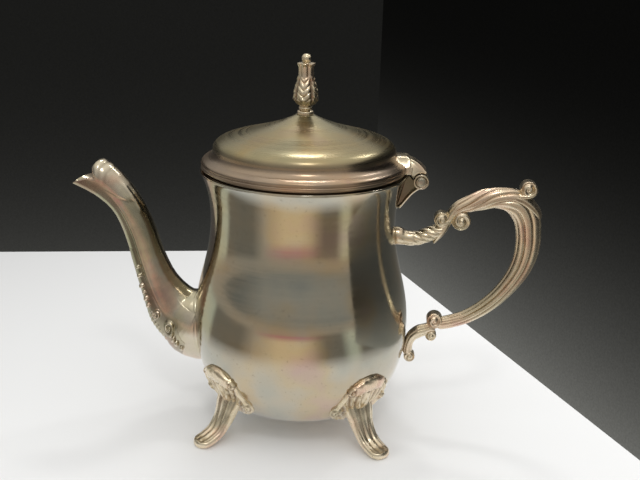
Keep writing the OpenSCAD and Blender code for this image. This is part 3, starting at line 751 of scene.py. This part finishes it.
        # leafy scrap of low relief between the scrolls and the keel
        rough = 0.5 + 0.5 * np.sin(1.9 * s + 1.2 * np.abs(c)) * np.sin(1.5 * np.abs(c) - 0.6 * s)
        scrap = ramp(t, 0.2, 0.24) * (1 - ramp(t, 0.34, 0.4)) * ramp(np.abs(c), 1.5, 3) * (1 - ramp(np.abs(c), 8, 12))
        high = np.maximum(high, 0.6 * rough * scrap)
        mark = np.clip((high - 0.45) * 1.5, -0.7, 0.9) * fade - 0.12 * (1 - fade)
        for share, degrees, r, start in ((0.352, 63, 2.6, 0.4), (0.268, 68, 3.8, 0.1)):
            coil, disc = spiral(*distance(share, degrees), r, 1.5, start, 0.9, 1.06)
            high = high * (1 - disc) + disc * (0.5 + 1.15 * coil)
            mark = mark * (1 - disc) + disc * (1.7 * coil - 0.9)
        rise = spout_point(t, a, 0.0, high + 0.02)
        under = spout_point(t, a[:, ::9], 0.6)
        grid = np.concatenate([rise, under[:, ::-1]], axis=1)
        mark = np.concatenate([np.clip(mark, -1, 0.9), 0 * mark[:, ::9]], axis=1)
        add_piece("spout_band_cast", [shell(grid, mark, caps=True)], "filmed", "pot", ["spout_scroll"], 60)


# ---- handle ----

def out(rows):
    """Handle stations, given as distance outside the belly, turned into [x, z, half height, half width]."""
    return [(BELLY[0] + r[0], *r[1:]) for r in rows]


STEM = [(44.6, 101.5, 6.4, 5.4), (48.1, 101.5, 5.2, 4.6)] + out([
    (-4, 100.7, 3.9, 3.8), (0, 100.3, 3.8, 3.7), (4, 100.9, 3.7, 3.8), (8, 102.7, 3.9, 3.9),
    (12, 104.5, 3.7, 3.8), (15.5, 107, 2.7, 3.6), (18, 111.2, 2.5, 3.6), (20, 114.8, 2.8, 3.8),
    (23, 117.6, 3.4, 4.0), (27.5, 119.6, 4.2, 4.4), (34, 122, 5.1, 4.6), (39.8, 123.4, 5.3, 4.6),
    (44.8, 123.3, 5.6, 4.6), (49.6, 122.1, 6.5, 4.6), (54, 119, 7, 4.6), (57, 113.5, 6.7, 4.6),
    (58.3, 106.5, 6.3, 4.6), (58.6, 100.2, 6.2, 4.6), (57.9, 93.6, 5.9, 4.6), (55.7, 86.5, 5.4, 4.6),
    (51.8, 79.2, 4.8, 4.5), (45.8, 71.2, 4.3, 4.3), (38.6, 64.4, 3.9, 4.1), (30.8, 59.2, 3.6, 3.9),
    (24, 56.4, 3.5, 3.8), (18.2, 54.8, 3.4, 3.7), (15, 54.6, 3, 3.6)])
HEEL = out([(15, 53.2, 2.6, 3.4), (10.4, 50.8, 3.1, 3.4), (6.6, 49.3, 3.3, 3.4), (3.3, 46.6, 2.9, 3.2),
            (1.7, 43, 2.5, 3), (1.2, 39.3, 2.6, 3), (1.5, 35.8, 2.3, 3)])
# [distance outside the belly, height, radius, half width, start of the spiral in degrees, hand]
CURLS = [(14.5, 111.5, 3.9, 4.4, 200, 1), (24.2, 111.2, 4.8, 4.6, 100, -1), (56.2, 129, 4.1, 4.6, 250, 1),
         (14.4, 56.6, 4.2, 4.4, -60, 1), (13, 48.1, 2.9, 3.6, 90, -1), (2.4, 35.4, 2.9, 3.4, 120, 1)]


def curl(x, z, r, w, start, hand):
    """A rolled scroll end: a rounded drum about a line across the pot, whose two faces carry a
    spiral ridge. The drum's section is an ellipse of a high power, and the face sinks where
    distance from the centre, in turns of the spiral, is half way between two ridges."""
    q = np.linspace(0, math.pi, 72)[:, None]
    a = angles(64)[None]
    rho = r * np.sin(q) ** 0.62
    y = -w * signed(np.cos(q), 0.34)
    turn = rho / r * 1.45 - hand * (a - math.radians(start)) / TAU
    ridge = 0.5 + 0.5 * np.cos(TAU * turn)
    face = 1 - ramp(rho, r * 0.8, r * 0.97)
    eye = bump(rho, 0.24 * r)
    sink = face * (1 - eye) * (0.06 + (1 - ridge) * 0.2) * r
    y = y - np.sign(y) * sink
    grid = stacked(x + rho * np.cos(a), y, z + rho * np.sin(a))
    mark = np.clip(face * (ridge * 1.2 - 0.3), -1, 0.8)
    return shell(grid, mark)


def rod(stations, rows, groove, sides=128, power=1.0):
    """A reeded rod: an ellipse carried along a path with round ends, less a set of grooves.
    groove(s, a) gives, for share s of the length and angle a, the depth in millimetres."""
    path = even(spline(stations, rows * 3), rows)
    a = angles(sides)[None]
    k = closed_ends(path)
    s = np.linspace(0, 1, rows)[:, None]
    depth, mark = groove(s, a)
    cos, sin = np.cos(a), np.sin(a)
    up = (path[:, 2:3] - depth) * signed(cos, power) * k
    wide = (path[:, 3:4] - depth) * signed(sin, power) * k
    return shell(swept(path, up, wide), mark)


def smooth(mark):
    """Groove function of a rod without grooves, with one film mark all over."""
    return lambda s, a: (0 * s * a, mark + 0 * s * a)


class TEAPOT_OT_handle(bpy.types.Operator):
    """Carries the reeded handle along its scroll and rolls its curls"""

    bl_idname = "teapot.handle"
    bl_label = "Handle"

    def execute(self, context):
        size = context.scene.teapot_sizes

        def stem_grooves(s, a):
            """Twisted on the arm and again at the top of the grip, then straight down the back."""
            arm = 1 - ramp(s, 0.205, 0.225)
            rope = 0.55 * np.abs(((5 * (a + 52 * s) / TAU) % 1) * 2 - 1) ** 2.2
            reed = (8 * (a - 1.9 * ramp(s, 0.24, 0.47)) / TAU + 0.5) % 1 - 0.5
            groove = np.exp(-(reed / 0.13) ** 2) + 0.35 * (1 - np.abs(reed) * 2) ** 2
            gap = rope * arm + groove * (1 - arm)
            fade = ramp(s, 0.06, 0.085) * (1 - bump(s - 0.225, 0.022)) * (1 - 0.7 * ramp(s, 0.84, 0.97))
            return size.reed_depth * gap * fade * (1 + 0.5 * arm), np.clip((0.25 - gap * 0.5) * fade, -1, 1)

        def heel_grooves(s, a):
            """Two grooves along each side of the small scroll."""
            gap = bump(np.cos(a) - 0.45, 0.12) + bump(np.cos(a) + 0.45, 0.12)
            return 0.35 * gap * ramp(s, 0.05, 0.2) * (1 - ramp(s, 0.85, 1)), 0.3 - 0.7 * gap

        shells = [rod(STEM, 420, stem_grooves), rod(HEEL, 90, heel_grooves, 64)]
        shells += [curl(BELLY[0] + c[0], *c[1:]) for c in CURLS]
        # leaf point at the outer bend, leaf tips under the arm and below the second curl
        shells.append(rod(out([(50.4, 124.6, 1.6, 4.3), (53.6, 125.3, 1.7, 4.4), (56.8, 125.6, 1.6, 4.4),
                               (59.0, 127.0, 1.5, 4.4), (59.4, 129.6, 1.2, 4.3), (58.0, 131.8, 0.8, 4.0)]), 40,
                          smooth(0), sides=48, power=0.8))
        shells.append(rod(out([(48, 124.6, 2.4, 4.3), (53.5, 123.0, 3.0, 4.4), (58.2, 120.0, 3.0, 4.3),
                               (61.3, 116.6, 2.5, 3.7), (63.0, 113.2, 1.4, 2.3)]), 60,
                          lambda s, a: (0.5 * bump(np.cos(a), 0.2) * ramp(s, 0.1, 0.4) * (1 - s),
                                        -0.8 * bump(np.cos(a), 0.2) + 0 * s),
                          sides=56))
        shells.append(rod(out([(18.0, 110.6, 1.6, 3.4), (16.2, 107.2, 2.2, 3.6), (14.2, 103.8, 2.1, 3.3),
                               (12.5, 100.8, 1.4, 2.4), (11.2, 98.2, 0.6, 1.1)]), 40,
                          lambda s, a: (0 * s * a, 0.3 - 0.9 * bump(np.cos(a) - 0.5, 0.3) + 0 * s), sides=48))
        add_piece("handle_cast", shells, "cast", "pot", ["handle"], 55)
        return {"FINISHED"}


# ---- feet ----

# right half of the leaf's outline as [height, half width]
LEAF = np.array([(13, 0), (13.6, 5), (15.4, 8.6), (17, 13), (19.4, 16.8), (22.8, 17.8), (26.6, 16.2),
                 (30.4, 14.8), (33.6, 13.6), (36.6, 11), (38, 9), (40.4, 4.5), (41, 0)])
TOE = [(44.0, 27, 2.6, 9.4), (45.6, 22.4, 2.9, 9.0), (47.3, 18, 3.0, 8.2), (49.0, 13.4, 2.9, 7.0),
       (51.6, 9.0, 2.5, 6.2), (55, 5.2, 2.2, 5.9), (59.5, 3.0, 2.1, 5.8), (63.5, 2.0, 2.0, 5.7), (67, 1.7, 1.7, 5.3)]


def foot_leaf(relief):
    """Leaf on the belly: for height z and share v of the outline's half width, the point stands
    on the belly's face at that height, raised by a height map of tongue, rims, rib and veins."""
    z = np.concatenate([[13], np.linspace(13.1, 40.8, 170), [41]])[:, None]
    v = np.linspace(-1, 1, 161)[None]
    outline = spline(LEAF, 400)
    half = np.interp(z, np.maximum.accumulate(outline[:, 0]), np.maximum(outline[:, 1], 0))
    y = v * half
    gone = 1 - np.abs(v)
    edge = quarter(gone * half / 1.1) \
        * np.sqrt(np.clip((41 - z) / 0.9, 0, 1)) * np.sqrt(np.clip((z - 13) / 1.0, 0, 1))
    # tongue rolled over at the top, with a dark line under its lower edge
    tongue = np.sqrt(np.clip(1 - ((z - 36.6 + 0.022 * y ** 2) / 3.9) ** 2, 0, 1)) \
        * np.sqrt(np.clip(1 - (y / 10.2) ** 4, 0, 1))
    groove = bump(z - 32.6 + 0.02 * y ** 2, 0.5) * (1 - ramp(np.abs(y), 8.5, 10))
    # raised cord inside the edge, sunk panel, and a middle rib that widens towards the shank
    cord = bump(gone * half - 1.5, 0.8) * (1 - ramp(z, 33, 36))
    rib = np.exp(-(np.abs(y) / (1.2 + 0.16 * (34 - z))) ** 3) * (1 - ramp(z, 30.5, 33))
    panel = ramp(gone * half, 2.0, 3.2) * (1 - rib) * (1 - ramp(z, 31, 32.5)) * ramp(z, 16, 19)
    fan = np.arctan2(np.abs(y), z - 6 - 0.16 * np.abs(y))
    vein = 0.5 + 0.5 * np.cos(fan * 34 + 0.5 * np.sin(z * 0.9))
    pucker = 0.12 * np.sin(1.3 * y + 0.7 * z) * np.sin(0.9 * z - 0.5 * y + 1)
    high = 0.9 + 2.0 * tongue - 0.5 * groove + 0.75 * cord + 0.9 * rib - 0.35 * panel \
        + relief * 1.05 * (vein - 0.5) * (0.35 + 0.65 * panel) * (1 - tongue) + pucker
    mark = 0.4 * cord + 0.35 * rib + 0.1 * tongue - 0.9 * groove - panel * (0.85 - 0.9 * vein)
    for hand in (-1, 1):
        for cy, cz, r in ((10.6, 34.4, 2.6), (15.2, 22.7, 2.3)):
            coil, disc = spiral((y - hand * cy) * hand, z - cz, r, 1.3, 0.2, 0.88, 1.08)
            high = high * (1 - disc) + disc * (1.15 + 1.1 * coil)
            mark = mark * (1 - disc) + disc * (coil * 1.6 - 1.0)
    high = high * edge
    base = belly_r(z)
    spread = np.arcsin(np.clip(y / (base + 1), -1, 1))
    lean = np.interp(z, LINE[:, 1], np.gradient(LINE[:, 0]) / np.gradient(LINE[:, 1]))
    k = 1 / np.sqrt(1 + lean ** 2)

    def face(d):
        """Points at distance d square to the belly's face."""
        r = base + d * k
        return stacked(r * np.cos(spread), r * np.sin(spread), z - d * k * lean)

    grid = np.concatenate([face(high), face(-0.35 * edge)[:, ::-8]], axis=1)
    return grid, np.concatenate([np.clip(mark, -1, 0.8), 0 * mark[:, ::8]], axis=1)


def foot_toe():
    """Shank and toe: a band that leaves the leaf and runs down to the table. Its top face swells
    across, and carries a rounded rim all round and three long ridges inside it; its sole is flat."""
    rows = 180
    path = even(spline(TOE, 4000), rows)
    a = angles(112)[None]
    s = np.linspace(0, 1, rows)[:, None]
    left = (lengths(path)[-1] - lengths(path))[:, None]
    w = path[:, 3:4] * quarter(left / 4.8)
    cos, sin = np.cos(a), np.sin(a)
    y = w * signed(sin, 0.8)
    up = path[:, 2:3] * signed(cos, 0.8) * np.clip(left / 1.3, 0, 1) ** 0.5
    top = ramp(cos, 0.05, 0.3)
    border = np.minimum((1 - np.abs(y) / np.maximum(w, 0.3)) * w, left)
    rim = bump(border - 0.9, 0.7) * ramp(s, 0.45, 0.6)
    inner = ramp(border, 1.2, 2.4)
    share = y / path[:, 3:4]
    ridge = (0.5 + 0.5 * np.cos(TAU * share * 1.75)) ** 0.8
    depth = ramp(s, 0.02, 0.2) * (0.4 + 0.3 * ramp(s, 0.4, 0.6))
    carve = top * (0.3 * rim + inner * depth * (ridge - 1) * (1 - 0.5 * bump(left - 3, 2)))
    grid = swept(path, up + carve, y)
    grid[..., 2] = np.maximum(grid[..., 2], 0.0)
    mark = top * np.clip(0.35 * ramp(s, 0.5, 0.65) + inner * (ridge * 1.1 - 0.5) + 0.4 * rim, -1, 1)
    return grid, mark


class TEAPOT_OT_feet(bpy.types.Operator):
    """Chases one leaf foot and sets it at the four corners of the belly"""

    bl_idname = "teapot.feet"
    bl_label = "Feet"

    def execute(self, context):
        size = context.scene.teapot_sizes
        leaf, leaf_mark = foot_leaf(size.leaf_relief)
        toe, toe_mark = foot_toe()
        for name, degrees in (("front_left", 225), ("front_right", -45), ("back_left", 135), ("back_right", 45)):
            c, s = math.cos(math.radians(degrees)), math.sin(math.radians(degrees))
            turn = np.array([(c, s, 0), (-s, c, 0), (0, 0, 1)])
            add_piece("foot_%s_cast" % name, [shell(leaf @ turn, leaf_mark), shell(toe @ turn, toe_mark, caps=True)],
                      "cast", "pot", ["foot_" + name], 60)
        return {"FINISHED"}


# ---- hinge ----

HINGE = (58.5, 131.4)


def slab(corners, half_width, round_by, mark=0.0):
    """A plate on edge: a side view of [x, z, corner radius] given a width that depends on the
    place, its two long edges rounded by moving the outline in as it nears each face."""
    side = rounded(corners, 7)
    side = even(np.concatenate([side, side[:1]]), 160)[:-1]
    v = np.roll(side, -1, 0) - np.roll(side, 1, 0)
    n = np.stack([-v[:, 1], v[:, 0]], 1) / np.linalg.norm(v, axis=1)[:, None]
    area = (side[:, 0] * np.roll(side[:, 1], -1) - np.roll(side[:, 0], -1) * side[:, 1]).sum()
    n = n if area > 0 else -n
    q = np.linspace(0, math.pi / 2, 7)
    rows = []
    for hand, quarter_turn in ((-1, q), (1, q[::-1])):
        for ang in quarter_turn:
            p = side + n * round_by * (1 - math.sin(ang))
            y = hand * (half_width(side) - round_by * (1 - math.cos(ang)))
            rows.append(np.stack([p[:, 0], y, p[:, 1]], 1))
    return shell(np.stack(rows), mark, caps=True)


def barrel(half, r, edge=0.35, sunk=0.0, eye=0.0, start=0.0):
    """A knuckle or pin head turned about the hinge line, from start to half on both sides or
    right through: a rounded drum whose ends sink by sunk between the eye and the outer ring."""
    end = [(0, half, 0), (eye, half, 0.1), (eye + 0.15, half - sunk, 0.2), (r * 0.74, half - sunk, 0.2),
           (r * 0.8, half, 0.25)] if sunk else [(0, half + edge * 0.6, 0), (r * 0.6, half + edge * 0.5, edge * 3)]
    line = rounded(end + [(r, half, edge), (r, start, edge if start else 0)] + ([(0, start, 0)] if start else []), 6)
    if not start:
        line = np.concatenate([line, line[::-1] * (1, -1)])
    a = angles(96)[None]
    rho, y = line[:, :1], line[:, 1:2]
    mark = -0.9 * (np.abs(y) < half - sunk * 0.4) * (rho < r * 0.78) * (sunk > 0) + 0 * a
    grid = stacked(HINGE[0] + rho * np.cos(a), y, HINGE[1] + rho * np.sin(a))
    other = [shell(grid * (1, -1, 1), mark)] if start else []
    return [shell(grid, mark)] + other


class TEAPOT_OT_hinge(bpy.types.Operator):
    """Shapes the bracket on the neck, the pin and the strap on the lid"""

    bl_idname = "teapot.hinge"
    bl_label = "Hinge"

    def execute(self, context):
        hx, hz = HINGE
        # thin upright web, with a flange along its under edge that widens towards the barrel. The web is painted dark
        # all over as painted shade, and the flange and the pad on the neck are painted light as painted highlights
        web = slab([(46.9, 116.6, 0.3), (49.0, 117.4, 0.6), (51.6, 121.0, 2), (55.0, 125.4, 3), (58.4, 128.9, 1.5),
                    (58.6, 131.4, 0.8), (54.6, 131.4, 0.8), (53.2, 133.0, 0.4), (50.8, 132.6, 0.3)],
                   lambda p: 1.6 + 0 * p[:, 0], 0.5, -1.0)
        edge = np.array([(48.0, 116.4, 0.8, 2.7), (49.4, 118.2, 0.85, 3.2), (51.7, 121.6, 0.9, 4.2),
                         (54.4, 125.2, 0.9, 5.4), (57.4, 127.9, 0.95, 6.4),
                         (60.0, 129.2, 0.95, 6.8), (61.6, 131.0, 0.6, 6.8)])
        flange = rod(edge, 90, smooth(0.9), sides=72, power=0.7)
        pad = rod([(47.15, 130.4, 0.8, 4.8), (46.4, 124.0, 0.9, 4.0), (46.6, 119.0, 0.9, 3.2),
                   (47.2, 115.9, 0.9, 2.6)], 80, smooth(0.9), sides=64, power=0.7)
        add_piece("hinge_bracket_cast", [web, flange, pad] + barrel(7.0, 3.75, 0.45, 0.5, 2.3, 2.6),
                  "filmed", "pot", ["hinge_bracket"], 40)
        add_piece("hinge_pin_wire", barrel(7.45, 2.05, 0.5), "pin", "pot", ["hinge_pin"], 40)
        # saddle over the edge of the lid, a wide arm that clears the knuckles, and a ridge round them
        # the saddle's mark paints it lighter all over, as a painted highlight
        saddle = slab([(45.2, 140.6, 0.4), (45.6, 143.3, 0.7), (51.4, 143.5, 0.9), (53.0, 141.6, 1.0),
                       (53.2, 138.5, 0.3), (50.6, 137.9, 0.3), (47.4, 138.2, 0.3)],
                      lambda p: 7.6 - 0.5 * (p[:, 1] - 138), 0.7, 0.4)
        step = slab([(47.5, 138.5, 0.3), (53.9, 138.7, 0.6), (54.0, 137.4, 0.5), (53.6, 134.9, 0.5),
                     (50.2, 134.75, 0.3), (50.4, 137.4, 0.3)], lambda p: 6.5 - 0.1 * (p[:, 1] - 138), 0.45, 0.3)
        ang = np.radians(np.linspace(62, 158, 9))
        under = [(hx + 4.25 * math.cos(q), hz + 4.25 * math.sin(q), 0.2) for q in ang]
        arm = slab([(51.6, 136.6, 0.4), (51.2, 142.6, 0.6), (54.6, 141.6, 2.5), (58.4, 138.9, 2), (61.0, 136.0, 0.4)]
                     + under, lambda p: 5.9 - 0.32 * (p[:, 1] - 136), 0.5, 0.15)
        ring = rod([(hx + 4.8 * math.cos(q), hz + 4.8 * math.sin(q), 0.5, 6.6 - 0.2 * i) for i, q in
                    enumerate(np.radians((150, 134, 118, 100, 80, 66)))], 80, smooth(0.9), sides=48, power=0.7)
        knuckle = barrel(2.3, 3.75, 0.3)
        add_piece("lid_strap_cast", [saddle, step, arm, ring] + knuckle, "cast", "lid", ["lid_strap"], 40)
        return {"FINISHED"}


# ---- stage ----

CAMERA_AT = (38.83, -439.16, 237.95)
CAMERA_AXES = ((0.99675, 0.07622, 0.02589), (-0.04785, 0.30232, 0.95201), (0.06473, -0.95015, 0.30498))
# focal length as a share of the frame's width, and the sensor's width in millimetres
FOCAL_SHARE, SENSOR = 900 / 640, 36
# where the two boards meet, and how high they stand, in metres
BOARD_CORNER, BOARD_TOP = (0.0338, 0.2815), 0.245


class TEAPOT_OT_stage(bpy.types.Operator):
    """Sets the pale table, the dark boards, the soft lamps and the camera"""

    bl_idname = "teapot.stage"
    bl_label = "Stage"

    def execute(self, context):
        scene = context.scene
        tint = scene.teapot_colours
        table = self.sheet("table", [(-3, -3, 0), (3, -3, 0), (3, 3, 0), (-3, 3, 0)])
        table.data.materials.append(self.table_paint(tint.table))
        # each board's foot from end to end, and its painted glow: at its top, and added by the table
        for name, a, b, dim, bounce in (("board_left", (-0.43, 0.2019), BOARD_CORNER, 0.35, 0.95),
                                        ("board_right", BOARD_CORNER, (0.2256, -0.1476), 0.1, 4.6)):
            board = self.sheet(name, [(*a, 0), (*b, 0), (*b, BOARD_TOP), (*a, BOARD_TOP)])
            board.data.materials.append(self.board_paint(name + "_paper", dim, bounce))
            board.visible_diffuse = False
            board.visible_shadow = False
        self.lamp("window", (-0.04, 0.75, 1.5), (0, 0, 0.12), 0.28, 0.10, 2.4)
        self.lamp("side", (0.8, 0.8, 1.35), (0, 0, 0.12), 0.16, 0.10, 1.7)
        self.lamp("front", (0.16, -1.05, 1.6), (0, 0, 0.1), 0.25, 0.25, 3.2)
        self.world(scene)
        cam = bpy.data.cameras.new("camera")
        cam.sensor_width = SENSOR
        cam.lens = FOCAL_SHARE * SENSOR
        cam.clip_start, cam.clip_end = 0.01, 20
        eye = bpy.data.objects.new("camera", cam)
        scene.collection.objects.link(eye)
        turn = Matrix([[axis[i] for axis in CAMERA_AXES] for i in range(3)]).to_4x4()
        eye.matrix_world = Matrix.Translation([c * MM for c in CAMERA_AT]) @ turn
        scene.camera = eye
        scene.view_settings.view_transform = "Standard"
        return {"FINISHED"}

    def sheet(self, name, corners):
        """One flat face of the stage."""
        mesh = bpy.data.meshes.new(name)
        mesh.from_pydata(corners, [], [tuple(range(len(corners)))])
        thing = bpy.data.objects.new(name, mesh)
        bpy.context.scene.collection.objects.link(thing)
        return thing

    def table_paint(self, colour):
        """Matt white card. Away from the pot, glossy rays see a painted reflection of the room's things on it
        instead.
        """
        m, t = new_material("matt_white_card")
        where = node(t, "TexCoord").outputs["Object"]
        # painted reflection of what stands about the pot on the table and beyond it, by direction: 0 on the ramp is
        # behind the pot, 0.5 in front of it, 0.25 on the spout's side
        part = node(t, "SeparateXYZ", {0: where})
        front = node(t, "Math", {0: part.outputs["Y"]}, operation="MULTIPLY", in_1=-1.0)
        turn = node(t, "Math", {0: part.outputs["X"], 1: front}, operation="ARCTAN2")
        share = node(t, "MapRange", {"Value": turn}, in_1=-math.pi, in_2=math.pi)
        side = node(t, "ValToRGB", {"Fac": share})
        # painted reflection of a plain room: beige walls with a pale lit one at each side, dull gaps between, a dark
        # end
        beige, pale, dull, dark = "A89E90", "C0C4B4", "787268", "606058"
        stops(side, [(0.14, beige), (0.17, pale), (0.235, pale), (0.25, dull), (0.35, dull), (0.39, beige),
                     (0.53, beige), (0.56, dull), (0.62, dull), (0.645, pale), (0.66, pale),
                     (0.68, dull), (0.72, dark)])
        # in front of the pot the painted reflection goes by distance: cream near the pot, rose further out, then
        # beige
        reach = node(t, "VectorMath", {0: where}, operation="LENGTH")
        out = node(t, "MapRange", {"Value": reach.outputs["Value"]}, in_1=0.19, in_2=0.69)
        ahead = node(t, "ValToRGB", {"Fac": out})
        cream, rose = "D8CCB4", "B88490"
        stops(ahead, [(0.0, cream), (0.4, cream), (0.56, rose), (0.74, rose), (0.9, beige)])
        off = node(t, "Math", {0: share}, operation="SUBTRACT", in_1=0.482)
        wide = node(t, "Math", {0: off}, operation="ABSOLUTE")
        middle = node(t, "MapRange", {"Value": wide}, in_1=0.025, in_2=0.1, in_3=1.0, in_4=0.0)
        both = node(t, "Mix", {0: middle, 6: side.outputs["Color"], 7: ahead.outputs["Color"]},
                    data_type="RGBA")
        beyond = node(t, "MapRange", {"Value": reach.outputs["Value"]}, in_1=0.58, in_2=0.75)
        around = node(t, "Mix", {0: beyond, 6: both.outputs[2]}, data_type="RGBA", in_7=rgba(beige))
        past = node(t, "MapRange", {"Value": reach.outputs["Value"]}, in_1=0.13, in_2=0.19)
        ray = node(t, "LightPath")
        mix = node(t, "Math", {0: past, 1: ray.outputs["Is Glossy Ray"]}, operation="MULTIPLY")
        # painted shade: the card's colour is scaled a shade dimmer at the far left, as if lit from the right and the
        # front
        near = node(t, "VectorMath", {0: where}, operation="DOT_PRODUCT", in_1=(1.0, -0.8, 0.0))
        painted_side_shade = node(t, "MapRange", {"Value": near.outputs["Value"]}, in_1=-0.45, in_2=0.0, in_3=0.7, in_4=1.0)
        card = node(t, "VectorMath", {3: painted_side_shade}, operation="SCALE", in_0=colour)
        paint = node(t, "Mix", {0: mix, 6: card, 7: around.outputs[2]}, data_type="RGBA")
        # painted light: the card glows to glossy rays under the belly, where the pot's own shadow hides it, standing
        # in for light it passes up
        under = node(t, "MapRange", {"Value": reach.outputs["Value"]}, in_1=0.06, in_2=0.13, in_3=0.2, in_4=0.0)
        fill = node(t, "Math", {0: under, 1: ray.outputs["Is Glossy Ray"]}, operation="MULTIPLY")
        shade = node(t, "BsdfPrincipled", {"Base Color": paint.outputs[2], "Emission Strength": fill})
        shade.inputs["Roughness"].default_value = 0.85
        shade.inputs["Specular IOR Level"].default_value = 0.2
        shade.inputs["Emission Color"].default_value = (0.92, 0.94, 1.0, 1.0)
        node(t, "OutputMaterial", {"Surface": shade})
        return m

    def board_paint(self, name, dim, bounce):
        """Charcoal card, seen only from the pot's side. It glows as painted light, standing for the pale table
        lighting it from below:
        its glow is dim plus bounce times the fourth power of the share of its height still above."""
        m, t = new_material(name)
        where = node(t, "TexCoord").outputs["Object"]
        part = node(t, "SeparateXYZ", {0: where})
        above = node(t, "MapRange", {"Value": part.outputs["Z"]}, in_1=0.0, in_2=BOARD_TOP,
                     in_3=1.0, in_4=0.0)
        fall = node(t, "Math", {0: above}, operation="POWER", in_1=4.0)
        light = node(t, "Math", {0: fall}, operation="MULTIPLY_ADD", in_1=bounce, in_2=dim)
        weave = node(t, "TexNoise", {"Vector": where}, in_2=900.0, in_3=2.0)
        grain = node(t, "MapRange", {"Value": weave.outputs["Fac"]}, in_3=0.75, in_4=1.25)
        level = node(t, "Math", {0: light, 1: grain}, operation="MULTIPLY")
        card = node(t, "VectorMath", {3: level}, operation="SCALE", in_0=linear("30302E"))
        # painted reflection: the card glows brighter to glossy rays, where the pot sees its near end
        ray = node(t, "LightPath")
        painted_reflection_gain = node(t, "MapRange", {"Value": ray.outputs["Is Glossy Ray"]}, in_3=1.0, in_4=2.5)
        shade = node(t, "Emission", {"Color": card, "Strength": painted_reflection_gain})
        clear = node(t, "BsdfTransparent")
        back = node(t, "NewGeometry")
        mix = node(t, "MixShader", {0: back.outputs["Backfacing"], 1: shade, 2: clear})
        node(t, "OutputMaterial", {"Surface": mix})
        return m

    def lamp(self, name, at, aim, wide, high, power):
        """A rectangular lamp in metres and watts, turned towards a point."""
        light = bpy.data.lights.new(name, "AREA")
        light.shape = "RECTANGLE"
        light.size, light.size_y = wide, high
        light.energy = power
        thing = bpy.data.objects.new(name, light)
        thing.location = at
        thing.rotation_euler = (Vector(aim) - Vector(at)).to_track_quat("-Z", "Y").to_euler()
        bpy.context.scene.collection.objects.link(thing)

    def world(self, scene):
        """A dim room for the metal to mirror, soft white fill for the light, pale to the camera."""
        w = bpy.data.worlds.new("room")
        scene.world = w
        w.use_nodes = True
        t = w.node_tree
        t.nodes.clear()
        where = node(t, "TexCoord").outputs["Generated"]
        part = node(t, "SeparateXYZ", {0: where})
        room = node(t, "ValToRGB", {"Fac": part.outputs["Z"]})
        stops(room, [(0.0, "9A9A96"), (0.3, "B4B2AC"), (0.6, "D0CDC4"), (0.8, "F2EEE4"), (1.0, "FFFCF4")])
        # the room is darker on the left and at the far right, below the ceiling
        across = node(t, "MapRange", {"Value": part.outputs["X"]}, in_1=-1.0, in_2=1.0)
        sides = node(t, "ValToRGB", {"Fac": across})
        stops(sides, [(0.03, "B8B8B8"), (0.2, "000000"), (0.95, "000000"), (0.99, "DCDCDC")])
        low = node(t, "MapRange", {"Value": part.outputs["Z"]}, in_1=0.25, in_2=0.7, in_3=1.0, in_4=0.0)
        dark = node(t, "Math", {0: sides.outputs["Color"], 1: low}, operation="MULTIPLY")
        walls = node(t, "Mix", {0: dark, 6: room.outputs["Color"]}, data_type="RGBA", in_7=rgba("4C4C49"))
        rise = node(t, "MapRange", {"Value": part.outputs["Z"]}, in_3=1.0, in_4=1.05)
        ray = node(t, "LightPath")
        mirror = node(t, "Mix", {0: ray.outputs["Is Glossy Ray"], 6: rise, 7: walls.outputs[2]},
                      data_type="RGBA")
        seen = node(t, "Mix", {0: ray.outputs["Is Camera Ray"], 6: mirror.outputs[2]},
                    data_type="RGBA", in_7=(0.62, 0.62, 0.61, 1))
        sky = node(t, "Background", {"Color": seen.outputs[2]})
        node(t, "OutputWorld", {"Surface": sky})


# ---- panel and registration ----

OPERATORS = (TEAPOT_OT_body, TEAPOT_OT_lid, TEAPOT_OT_finial, TEAPOT_OT_spout, TEAPOT_OT_handle,
             TEAPOT_OT_feet, TEAPOT_OT_hinge, TEAPOT_OT_stage)


class TEAPOT_PT_panel(bpy.types.Panel):
    """Lists the teapot's sizes, colours and pieces"""

    bl_idname = "TEAPOT_PT_panel"
    bl_label = "Teapot"
    bl_space_type = "VIEW_3D"
    bl_region_type = "UI"
    bl_category = "Teapot"

    def draw(self, context):
        """One row for each setting and each operator."""
        for group in (context.scene.teapot_sizes, context.scene.teapot_colours):
            for key in group.bl_rna.properties.keys():
                if key not in ("rna_type", "name"):
                    self.layout.prop(group, key)
        for op in OPERATORS:
            self.layout.operator(op.bl_idname)


CLASSES = (TeapotSizes, TeapotColours, *OPERATORS, TEAPOT_PT_panel)


def register():
    """Registers the classes and hangs the settings on the scene."""
    for c in CLASSES:
        bpy.utils.register_class(c)
    bpy.types.Scene.teapot_sizes = bpy.props.PointerProperty(type=TeapotSizes)
    bpy.types.Scene.teapot_colours = bpy.props.PointerProperty(type=TeapotColours)


def unregister():
    """Takes back what register does."""
    del bpy.types.Scene.teapot_colours
    del bpy.types.Scene.teapot_sizes
    for c in reversed(CLASSES):
        bpy.utils.unregister_class(c)


def main():
    """Builds every piece and the stage."""
    register()
    bpy.ops.teapot.body()
    bpy.ops.teapot.lid()
    bpy.ops.teapot.finial()
    bpy.ops.teapot.spout()
    bpy.ops.teapot.handle()
    bpy.ops.teapot.feet()
    bpy.ops.teapot.hinge()
    bpy.ops.teapot.stage()


if __name__ == "__main__":
    main()
